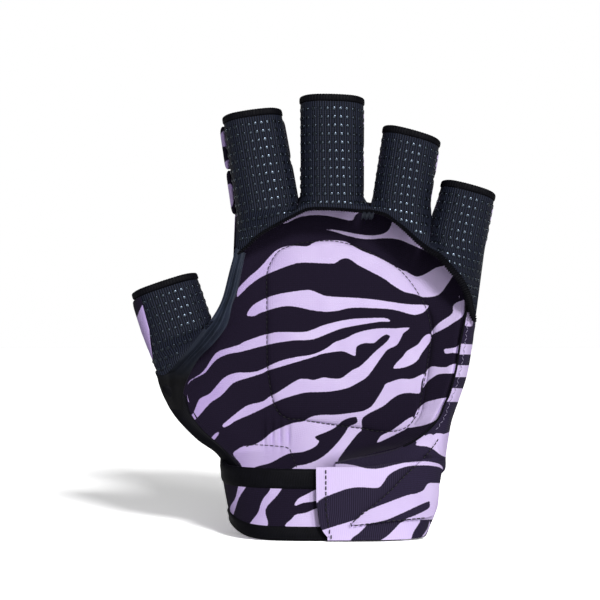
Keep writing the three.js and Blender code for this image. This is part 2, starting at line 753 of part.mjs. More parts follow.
function barTack() {
  const { middle, ring } = fingers;
  const x = (baseCorner(middle, 1).x + baseCorner(ring, -1).x) / 2;
  const box = new THREE.BoxGeometry(tackWidth, tackDepth, tackHeight);
  box.translate(x, yokeDepthAt(x) - tackDepth / 2 - clearance, middle.z - yokeReach);
  return named('web_bar_tack', solidOf(box), 'binding');
}

const glove = new THREE.Group();
glove.add(handPad(), backGuards(), sideGuard(), yoke(), thumbSide(), thumbRoot(), cuff(), strap(), barTack());
for (const [name, finger] of Object.entries(fingers)) glove.add(stall(name, finger));

// The origin goes under the middle of the whole glove
const bounds = new THREE.Box3().setFromObject(glove);
const middlePoint = bounds.getCenter(new THREE.Vector3());
glove.position.set(-middlePoint.x, -middlePoint.y, -bounds.min.z);

export default glove;
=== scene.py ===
import math

import bmesh
import bpy
import numpy as np
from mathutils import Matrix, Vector


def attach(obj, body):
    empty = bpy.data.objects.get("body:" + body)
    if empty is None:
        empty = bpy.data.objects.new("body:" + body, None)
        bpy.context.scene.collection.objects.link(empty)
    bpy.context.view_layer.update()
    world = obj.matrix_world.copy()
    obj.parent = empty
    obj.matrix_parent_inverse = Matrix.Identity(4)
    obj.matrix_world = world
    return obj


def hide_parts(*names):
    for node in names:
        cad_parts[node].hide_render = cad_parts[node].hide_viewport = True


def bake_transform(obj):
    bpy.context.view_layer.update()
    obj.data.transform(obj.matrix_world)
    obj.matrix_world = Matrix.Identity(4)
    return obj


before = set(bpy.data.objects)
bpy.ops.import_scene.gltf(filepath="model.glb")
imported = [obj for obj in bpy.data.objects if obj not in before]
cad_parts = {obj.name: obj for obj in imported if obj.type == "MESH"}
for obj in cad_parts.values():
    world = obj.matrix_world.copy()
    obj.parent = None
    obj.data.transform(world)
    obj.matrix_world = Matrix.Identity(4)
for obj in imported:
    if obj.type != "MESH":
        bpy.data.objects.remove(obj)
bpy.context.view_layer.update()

bl_info = {
    "name": "Field hockey glove",
    "version": (1, 0, 0),
    "blender": (4, 5, 0),
    "location": "View3D > Sidebar > Glove",
    "description": "Left-hand open-palm glove with knit stalls, foam guards and a zebra lining",
    "category": "Add Mesh",
}

MM = 0.001

# The hand's own measures, in millimetres, and the step from them to the shared frame
TO_FRAME = np.array((0.316, -1.340, 0.0))
HINGE_CLEARANCE = 0.8
PALM_WIDTH = 105.0
KNUCKLE_HEIGHT = 148.5
CUFF_HEIGHT = 36.0
CUFF_X = 8.0
CUFF_HALF_TOP = 45.0
CUFF_HALF_BOTTOM = 42.5
CUFF_HALF_DEPTH = 24.0
STALL_HALF_DEPTH = 11.4
STALL_WALL = 1.2
RIM_HEIGHT = 3.0
OVAL_POWER = 2.6
LINING_WALL = 1.5
COVER_WALL = 1.2
SIDE_WALL = 1.2
CUFF_WALL = 2.2
BLOCK_THICKNESS = 6.4
PALM_ARCH = 0.95
ARCH_POWER = 4
CREASES_AT = (-21.0, -17.4, -13.9, -10.2)

# The cuff's and the strap's pieces: the heights each reaches from and to, how far out from the cuff's face it lies,
# and how thick it is
BAND_REACH = (4.3, 28.5)
TAPE_REACH = {"top": (27.2, 36.0), "hem": (0.0, 6.4)}
LOOP_REACH = (7.85, 25.85)
HOOK_REACH = (8.85, 24.85)
LOOP_OUT = 1.2
HOOK_OUT = 2.6
STRAP_OUT = 4.9
STRAP_PANEL_OUT = 6.4
LOOP_WALL = 0.9
HOOK_WALL = 1.1
STRAP_WALL = 2.0

# How full of foam each kind of pad is
CORE_FILL = 0.95
GUARD_FILL = 0.9
PANEL_FILL = 0.8
ROLL_FILL = 0.7

# Each stall: middle of its base, width there and at the open end, length, slant of that end, tilt, palm depth
# and how far round its foam blocks reach, in degrees
FINGERS = {
    "index": dict(x=-19.112, z=143.1, base=27.4, tip=25.6, length=39.9, slant=0.3, tilt=-9.5, depth=-11.5, reach=170),
    "middle": dict(x=9.0, z=148.5, base=27.4, tip=27.6, length=40.6, slant=0.3, tilt=0.0, depth=-12.5, reach=142),
    "ring": dict(x=39.0, z=146.1, base=24.8, tip=25.2, length=27.9, slant=1.1, tilt=9.5, depth=-12.0, reach=142),
    "little": dict(x=63.7, z=129.4, base=25.4, tip=23.8, length=21.4, slant=0.4, tilt=13.0, depth=-9.5, reach=142),
    "thumb": dict(x=-57.3, z=88.9, base=29.6, tip=29.2, length=20.6, slant=0.0, tilt=-18.4, depth=-11.0, reach=170),
}

# The camera, and outlines as the camera sees them in the middle plane of the hand
CAMERA_AT = (-4.65, -1000.0, 95.0)
CAMERA_AIM_Z = 103.1
CAMERA_FIELD = 262.6
SENSOR_WIDTH = 36
FLOOR_SIZE = 12
SEEN_CENTRE = (-5.16, 97.35)
SEEN_SCALE = 1.0178


def seen(outline, depth):
    """Points of an outline as seen, moved along the line of sight to a depth."""
    p = np.asarray(outline, float)
    k = SEEN_SCALE * (1 + np.asarray(depth, float) / 1000)
    x = CAMERA_AT[0] + (p[..., 0] - SEEN_CENTRE[0]) * k
    z = CAMERA_AT[2] + (p[..., 1] - SEEN_CENTRE[1]) * k
    return np.stack((x, np.broadcast_to(depth, x.shape), z), -1)


def as_seen(points):
    """Where points of the frame are seen, in the measures of the outlines."""
    k = SEEN_SCALE * (1 + points[:, 1] / 1000)
    return np.stack((SEEN_CENTRE[0] + (points[:, 0] - CAMERA_AT[0]) / k,
                     SEEN_CENTRE[1] + (points[:, 2] - CAMERA_AT[2]) / k), -1)


# ---- Measures of the hand ----

def table_at(table, place):
    at, value = zip(*table)
    return np.interp(place, at, value)


def lerp(a, b, share):
    return a + (b - a) * share


def smooth(x):
    x = np.clip(x, 0, 1)
    return x * x * (3 - 2 * x)


def unit(ways):
    """Ways, each scaled to length 1."""
    return ways / np.linalg.norm(ways, axis=-1, keepdims=True)


def base_corner(finger, side, below=0.0):
    f = FINGERS[finger]
    t = math.radians(f["tilt"])
    across = side * f["base"] / 2
    return np.array((f["x"] + across * math.cos(t) - below * math.sin(t),
                     f["z"] - across * math.sin(t) - below * math.cos(t)))


THUMB_EDGE = [(0, 0), (0.09, 0.087), (0.2, 0.158), (0.3, 0.17), (0.4, 0.126), (0.5, 0.053),
              (0.58, 0), (0.72, -0.023), (1, 0)]
LITTLE_EDGE = [(0, -0.06), (0.25, -0.045), (0.5, -0.035), (0.75, -0.05), (1, -0.075)]
PAD_BOTTOM = CUFF_HEIGHT + 0.3
PAD_LEFT = base_corner("index", -1, HINGE_CLEARANCE)
PAD_RIGHT = base_corner("little", 1, HINGE_CLEARANCE)
CROTCH_X = base_corner("thumb", 1)[0] + 5.6


def eased(table, places=41):
    """A table as a smooth curve of closely spaced pairs."""
    at = np.linspace(table[0][0], table[-1][0], places)
    value = table_at(table, at)
    for _ in range(3):
        value[1:-1] = (value[:-2] + 2 * value[1:-1] + value[2:]) / 4
    return list(zip(at, value))


THUMB_CURVE = eased([(v, lerp(CUFF_X - CUFF_HALF_TOP, CROTCH_X, v / 0.58) if v < 0.58 else
                      lerp(CROTCH_X, PAD_LEFT[0], (v - 0.58) / 0.42)) for v in np.linspace(0, 1, 25)])
THUMB_BULGE = eased(THUMB_EDGE)
LITTLE_BULGE = eased(LITTLE_EDGE)


def pad_sides(v):
    left = table_at(THUMB_CURVE, v) - PALM_WIDTH * table_at(THUMB_BULGE, v)
    right = lerp(CUFF_X + CUFF_HALF_TOP, PAD_RIGHT[0], v) + PALM_WIDTH * table_at(LITTLE_BULGE, v)
    return left, right


# How far the lining stands out from the pad up the hand, at its little-finger side and at its thumb side
LINING_STEP = eased([(-0.2, -45.0), (-0.05, -33.0), (0.0, -20.0), (0.03, -9.0), (0.07, -3.2), (0.13, 0.8), (0.2, 3.4),
                     (0.27, 4.3), (0.39, 4.6), (0.55, 4.4), (0.77, 2.0), (1.0, 1.0), (1.1, 1.0)], 261)
LINING_LEFT = eased([(-0.2, 0), (0.05, 0), (0.075, 0.4), (0.117, 2.1), (0.16, 1.9), (0.216, 1.9), (0.265, 1.4),
                     (0.32, 0.5), (0.4, 0), (1.1, 0)], 261)


def hand_place(u, v, lining=False):
    """Place in the plane of the hand: u from the thumb side (-1) to the little side (1), v up from the cuff."""
    left, right = pad_sides(v)
    if lining:
        right = right + table_at(LINING_STEP, v)
        left = left - table_at(LINING_LEFT, v)
    share = (u + 1) / 2
    arch = v * (KNUCKLE_HEIGHT - PAD_LEFT[1]) * (1 - u ** ARCH_POWER) * PALM_ARCH
    z = lerp(lerp(PAD_BOTTOM, PAD_LEFT[1], v), lerp(PAD_BOTTOM, PAD_RIGHT[1], v), share) + arch
    return lerp(left, right, share), z


def hand_shares(x, z):
    """The reverse of hand_place, for points of the frame."""
    x = np.asarray(x, float) - TO_FRAME[0]
    u = np.zeros_like(x)
    for _ in range(8):
        share = (u + 1) / 2
        rise = lerp(PAD_LEFT[1] - PAD_BOTTOM, PAD_RIGHT[1] - PAD_BOTTOM, share)
        v = (z - PAD_BOTTOM) / (rise + (KNUCKLE_HEIGHT - PAD_LEFT[1]) * (1 - u ** ARCH_POWER) * PALM_ARCH)
        left, right = pad_sides(np.clip(v, 0, 1))
        right = right + table_at(LINING_STEP, v)
        u = np.clip(2 * (x - left) / (right - left) - 1, -1, 1)
    return u, v


def edge_depth(v):
    return lerp(-1.0, 6.0, v)


def lining_depth(u, v):
    middle = lerp(15.0, 10.0, v)
    return lerp(middle, edge_depth(v), np.abs(u) ** lerp(4.0, 10.0, np.clip(v, 0, 1)))


def palm_depth(x, z):
    """Depth of the lining's face in the frame, over a place in the plane of the hand."""
    u, v = hand_shares(x, z)
    return lining_depth(u, v) + TO_FRAME[1]


def creases(x, z):
    """Small upright folds where the lining gathers at the heel of the hand."""
    across = sum(np.exp(-((x - at) / 0.9) ** 2) for at in CREASES_AT)
    return 1.4 * across * np.exp(-((z - 43.5) / 6.5) ** 2)


def pad_point(u, v, behind, lining=False):
    x, z = hand_place(u, v, lining)
    return np.stack((x, lining_depth(u, v) + behind + (creases(x, z) if lining else 0), z), -1) + TO_FRAME


BASE_LINE = np.array([base_corner(f, side, HINGE_CLEARANCE) for f in ("index", "middle", "ring", "little")
                      for side in (-1, 1)])


def under_stalls(points):
    """Keeps what runs up to the finger bases clear of the space that the stalls fold in."""
    limit = np.interp(points[..., 0] - TO_FRAME[0], BASE_LINE[:, 0], BASE_LINE[:, 1])
    points[..., 2] = np.minimum(points[..., 2], limit)
    return points


def oval(a, b, x, y, angle, offset):
    """Point of an oval section at an angle in radians, moved out along its normal."""
    c, s = np.cos(angle), np.sin(angle)
    along = 2 / OVAL_POWER
    nx = np.sign(c) * np.abs(c) ** (2 - along) / a
    ny = np.sign(s) * np.abs(s) ** (2 - along) / b
    n = np.hypot(nx, ny)
    return (x + a * np.sign(c) * np.abs(c) ** along + nx / n * offset,
            y + b * np.sign(s) * np.abs(s) ** along + ny / n * offset)


def even_angles(a, b, from_deg, to_deg):
    """Angle against the share of the way along an oval, so that cloth is laid round it evenly."""
    angle = np.radians(np.linspace(from_deg, to_deg, 721))
    x, y = oval(a, b, 0, 0, angle, 0)
    run = np.concatenate(([0], np.cumsum(np.hypot(np.diff(x), np.diff(y)))))
    return lambda share: np.interp(share, run / run[-1], angle)


def cuff_point(angle, z, offset):
    a = lerp(CUFF_HALF_BOTTOM, CUFF_HALF_TOP, z / CUFF_HEIGHT)
    x, y = oval(a, CUFF_HALF_DEPTH, CUFF_X, 0, angle, offset)
    # the thumb side leans out towards the top, the other side draws in at the hem
    out = (x - CUFF_X) / a
    x = x - 2.6 * smooth(np.clip(z / 30, 0, 1)) * np.clip(-out, 0, 1.2) ** 2
    x = x - 3.0 * smooth(np.clip(1 - z / 16, 0, 1)) * np.clip(out, 0, 1.2) ** 4
    return np.stack((x, y, z + 0 * x), -1) + TO_FRAME


FRONT = np.linspace(math.pi, 2 * math.pi, 721)


def on_cuff(points, offset):
    """Points as seen, set on the front of the cuff, this far out from it."""
    depth = -25.0
    for _ in range(4):
        p = seen(points, depth)
        x = p[..., 0] - TO_FRAME[0]
        a = lerp(CUFF_HALF_BOTTOM, CUFF_HALF_TOP, p[..., 2] / CUFF_HEIGHT)
        line_x, line_y = oval(CUFF_HALF_TOP, CUFF_HALF_DEPTH, CUFF_X, 0, FRONT, offset)
        wide = (a + offset) / (CUFF_HALF_TOP + offset)
        depth = np.interp((x - CUFF_X) / wide + CUFF_X, line_x, line_y) + TO_FRAME[1]
    return seen(points, depth)


def finger_point(finger, x, y, z):
    """From a stall's own measures to the frame: x across, y back from its palm face, z along it."""
    f = FINGERS[finger]
    t = math.radians(f["tilt"])
    return np.stack((f["x"] + x * math.cos(t) + z * math.sin(t), f["depth"] + y,
                     f["z"] - x * math.sin(t) + z * math.cos(t)), -1) + TO_FRAME


def stall_point(finger, angle, z, offset):
    f = FINGERS[finger]
    a = lerp(f["base"], f["tip"], np.clip(z / f["length"], -0.2, 1.1)) / 2 - STALL_WALL
    x, y = oval(a, STALL_HALF_DEPTH - STALL_WALL, 0, STALL_HALF_DEPTH, angle, offset)
    # the open end slants down towards the little finger and droops at both sides
    out = x / (f["tip"] / 2)
    near = np.clip(z / f["length"], 0, 1.1) ** 2
    return finger_point(finger, x, y, z - near * (f["slant"] * out + 0.8 * np.clip(np.abs(out), 0, 1.2) ** 4))


# ---- Mesh making ----

def deselect():
    for o in bpy.context.selected_objects:
        o.select_set(False)


def choose(obj):
    deselect()
    obj.select_set(True)
    bpy.context.view_layer.objects.active = obj


def apply_modifier(obj, kind, **settings):
    choose(obj)
    modifier = obj.modifiers.new(kind.title(), kind)
    for key, value in settings.items():
        setattr(modifier, key, value)
    bpy.ops.object.modifier_apply(modifier=modifier.name)


def shade(obj, angle=None):
    choose(obj)
    if angle is None:
        bpy.ops.object.shade_smooth()
    else:
        bpy.ops.object.shade_smooth_by_angle(angle=math.radians(angle))


def face_towards(obj, way):
    """Turns the faces so that, all together, they look the given way."""
    mesh = obj.data
    total = sum((p.normal * p.area for p in mesh.polygons), Vector())
    if total.dot(Vector(way)) < 0:
        mesh.flip_normals()


def lay_sheet(name, surface, steps, facing, thickness=0.0, welded=False):
    """A grid whose points the surface lays in place, with its cloth map in metres along the cloth."""
    deselect()
    bpy.ops.mesh.primitive_grid_add(x_subdivisions=steps[0], y_subdivisions=steps[1], size=1)
    obj = bpy.context.object
    obj.name = obj.data.name = name
    mesh = obj.data
    flat = coordinates(obj) + 0.5
    points = surface(flat[:, 0], flat[:, 1])
    mesh.vertices.foreach_set("co", (points * MM).astype(np.float32).ravel())
    nx = len(np.unique(flat[:, 0].round(5)))
    order = np.lexsort((flat[:, 0].round(5), flat[:, 1].round(5)))
    net = points[order].reshape(-1, nx, 3) * MM
    run_s = np.zeros(net.shape[:2])
    run_s[:, 1:] = np.cumsum(np.linalg.norm(np.diff(net, axis=1), axis=2), axis=1)
    run_s -= run_s[:, -1:] / 2
    run_t = np.zeros(net.shape[:2])
    run_t[1:] = np.cumsum(np.linalg.norm(np.diff(net, axis=0), axis=2), axis=0)
    place = np.empty((len(points), 2))
    place[order, 0] = run_s.ravel()
    place[order, 1] = run_t.ravel()
    lay_map(mesh, place)
    mesh.update()
    face_towards(obj, facing)
    if welded:
        weld(obj)
    if thickness:
        apply_modifier(obj, "SOLIDIFY", thickness=thickness * MM, offset=-1, use_even_offset=False)
    shade(obj, 50 if thickness else None)
    return obj


def run_along(line):
    """Distance from the start of a line to each of its points."""
    return np.concatenate(([0], np.cumsum(np.linalg.norm(np.diff(line, axis=0), axis=1))))


def line_share(line):
    """Point at a share of the way along a line of points."""
    run = run_along(line)
    return lambda t: np.stack([np.interp(t * run[-1], run, line[:, k]) for k in range(line.shape[1])], -1)


def lay_tube(name, line, radius, depth, steps, ripple=0.0, pitch=1.1):
    """A cord or fold of tape along a line of points, with the loops of its thread as a ripple."""
    at = line_share(line)
    length = np.linalg.norm(np.diff(line, axis=0), axis=1).sum()

    def tube(s, t):
        way = unit(at(np.clip(s + 0.004, 0, 1)) - at(np.clip(s - 0.004, 0, 1)))
        side = unit(np.cross(way, (0.0, -1.0, 0.0)))
        front = np.cross(side, way)
        turn = 2 * math.pi * t
        size = 1 + ripple * np.sin(2 * math.pi * s * length / pitch)
        wide = radius(s) if callable(radius) else radius
        taper = np.sqrt(np.clip(1 - np.abs(2 * s - 1) ** 60, 0.0025, 1)) * size
        return (at(s) + side * (np.cos(turn) * wide * taper)[..., None]
                + front * (np.sin(turn) * depth * taper)[..., None])
    obj = lay_sheet(name, tube, steps, (0, -1, 0), welded=True)
    close_ends(obj)
    return obj


def laid_on(obj, outline, lift):
    """An outline as seen, set on the face of a piece that is nearest the camera."""
    p = coordinates(obj) / MM
    at = as_seen(p)
    gap = np.linalg.norm(at[None] - np.asarray(outline)[:, None], axis=-1)
    depth = np.where(gap < np.maximum(1.5, gap.min(1, keepdims=True) + 0.2), p[:, 1], 1e3).min(1)
    depth = np.convolve(np.pad(depth, 4, mode="edge"), np.ones(9) / 9, mode="valid")
    return seen(outline, depth - lift)


def coordinates(obj):
    """The vertices of a piece, in metres."""
    co = np.empty(len(obj.data.vertices) * 3)
    obj.data.vertices.foreach_get("co", co)
    return co.reshape(-1, 3)


def close_ends(obj):
    choose(obj)
    bpy.ops.object.mode_set(mode="EDIT")
    bpy.ops.mesh.select_all(action="DESELECT")
    bpy.ops.mesh.select_mode(type="EDGE")
    bpy.ops.mesh.select_non_manifold()
    bpy.ops.mesh.edge_face_add()
    bpy.ops.object.mode_set(mode="OBJECT")
    recalculated(obj)
    shade(obj, 50)


def lay_pad(name, place, steps, facing=(0, 1, 0), squareness=9.0, seam=0.3):
    """A closed stuffed form over shares s and t of its cloth: place(s, t, w) has w 0 on its inner and 1 on its outer
    face. Both faces draw together at a seam, at its share of the thickness, with well-rounded sides."""
    def surface(s, t):
        outer = t <= 0.5
        a = (1 - np.cos(math.pi * s)) / 2
        b = np.where(outer, 2 * t, 2 - 2 * t)
        b = (1 - np.cos(math.pi * b)) / 2
        full = ((1 - np.abs(2 * a - 1) ** squareness) * (1 - np.abs(2 * b - 1) ** squareness))
        full = np.clip(full, 0, 1) ** 0.45
        return place(a, b, np.where(outer, seam + (1 - seam) * full, seam - seam * full))
    obj = lay_sheet(name, surface, (steps[0], 2 * steps[1]), facing, welded=True)
    recalculated(obj)
    shade(obj)
    return obj


def change_mesh(obj, change):
    """Opens the mesh of a piece for a change and writes it back."""
    made = bmesh.new()
    made.from_mesh(obj.data)
    change(made)
    made.to_mesh(obj.data)
    made.free()


def recalculated(obj):
    """Turns the faces of a closed piece outward."""
    def outward(made):
        bmesh.ops.recalc_face_normals(made, faces=made.faces)
        if made.calc_volume(signed=True) < 0:
            bmesh.ops.reverse_faces(made, faces=made.faces)
    change_mesh(obj, outward)


def lay_map(mesh, place):
    loops = np.empty(len(mesh.loops), np.int32)
    mesh.loops.foreach_get("vertex_index", loops)
    layer = mesh.uv_layers.get("cloth") or mesh.uv_layers.active or mesh.uv_layers.new(name="cloth")
    layer.name = "cloth"
    layer.data.foreach_set("uv", place[loops].astype(np.float32).ravel())


def weld(obj, distance=0.01):
    """Merges points closer than the distance, in mm."""
    change_mesh(obj, lambda made: bmesh.ops.remove_doubles(made, verts=made.verts, dist=distance * MM))


def from_points(name, points, faces):
    mesh = bpy.data.meshes.new(name)
    mesh.from_pydata((np.asarray(points) * MM).tolist(), [], faces)
    obj = bpy.data.objects.new(name, mesh)
    bpy.context.scene.collection.objects.link(obj)
    return obj


def on_surface(surface, s, t, outward):
    """Places, two ways along the surface and its outward normal, at shares s and t."""
    e = 1e-3
    p = surface(s, t)
    a = unit(surface(s + e, t) - surface(s - e, t))
    n = unit(np.cross(a, surface(s, t + e) - surface(s, t - e)))
    n *= np.where((n @ np.asarray(outward, float))[..., None] < 0, -1, 1)
    return p, a, np.cross(n, a), n


def dome(sides=8):
    """A low bead of radius 1 that lies on the plane z = 0."""
    rings = [(1.0, -0.25), (0.95, 0.36), (0.62, 0.52)]
    points = [(r * math.cos(2 * math.pi * k / sides), r * math.sin(2 * math.pi * k / sides), h)
              for r, h in rings for k in range(sides)] + [(0, 0, 0.56)]
    faces = [(i * sides + k, i * sides + (k + 1) % sides, (i + 1) * sides + (k + 1) % sides, (i + 1) * sides + k)
             for i in range(2) for k in range(sides)]
    faces += [(2 * sides + k, 2 * sides + (k + 1) % sides, 3 * sides) for k in range(sides)]
    faces.append(tuple(range(sides))[::-1])
    return np.array(points), faces


def stitch(sides=6):
    """One stitch: a short thread of length 1 along x, its ends turned down into the cloth."""
    points, rings = [], [(-0.5, 0.3, -0.9), (-0.42, 0.85, 0.1), (-0.2, 1.0, 0.5), (0.2, 1.0, 0.5),
                         (0.42, 0.85, 0.1), (0.5, 0.3, -0.9)]
    for x, r, up in rings:
        points += [(x, r * math.cos(2 * math.pi * k / sides), up + r * math.sin(2 * math.pi * k / sides))
                   for k in range(sides)]
    faces = [(i * sides + k, (i + 1) * sides + k, (i + 1) * sides + (k + 1) % sides, i * sides + (k + 1) % sides)
             for i in range(len(rings) - 1) for k in range(sides)]
    last = (len(rings) - 1) * sides
    faces += [tuple(range(sides)), tuple(last + k for k in range(sides))[::-1]]
    return np.array(points), faces


def stamped(name, shape, places, along, normal, size):
    """Copies of one small shape, each set on its place: x along, z along the normal, size in mm."""
    points, faces = shape
    along = along - normal * (along * normal).sum(-1, keepdims=True)
    along = unit(along)
    across = np.cross(normal, along)
    size = np.broadcast_to(np.asarray(size, float), (len(places), 3))
    local = points[None] * size[:, None, :]
    out = (places[:, None] + local[..., :1] * along[:, None] + local[..., 1:2] * across[:, None]
           + local[..., 2:] * normal[:, None])
    every = [tuple(i + len(points) * k for i in face) for k in range(len(places)) for face in faces]
    obj = from_points(name, out.reshape(-1, 3), every)
    shade(obj)
    return obj


def join(target, other):
    choose(target)
    other.select_set(True)
    bpy.ops.object.join()


def along_line(line, spacing, closed=False):
    """Evenly spaced points along a line of points, and the ways along it."""
    line = np.asarray(line, float)
    if closed:
        line = np.vstack((line, line[:1]))
    run = run_along(line)
    count = max(2, round(run[-1] / spacing))
    at = (np.arange(count) + 0.5) / count * run[-1]

    def get(d):
        return np.stack([np.interp(np.clip(d, 0, run[-1]), run, line[:, k]) for k in range(line.shape[1])], -1)
    way = get(at + 0.2) - get(at - 0.2)
    return get(at), unit(way)


def rounded(points, closed=False, steps=6):
    """A smooth line through points."""
    p = np.asarray(points, float)
    q = np.vstack((p[-1:], p, p[:2])) if closed else np.vstack((2 * p[0] - p[1], p, 2 * p[-1] - p[-2]))
    t = np.linspace(0, 1, steps, endpoint=False)[:, None]
    out = []
    for a, b, c, d in zip(q[:-3], q[1:-2], q[2:-1], q[3:]):
        out.append(0.5 * (2 * b + (c - a) * t + (2 * a - 5 * b + 4 * c - d) * t ** 2
                          + (3 * b - a - 3 * c + d) * t ** 3))
    out = np.vstack(out)
    return out if closed else np.vstack((out, p[-1:]))


# ---- Outlines, in millimetres as the camera sees them in the middle plane of the hand ----

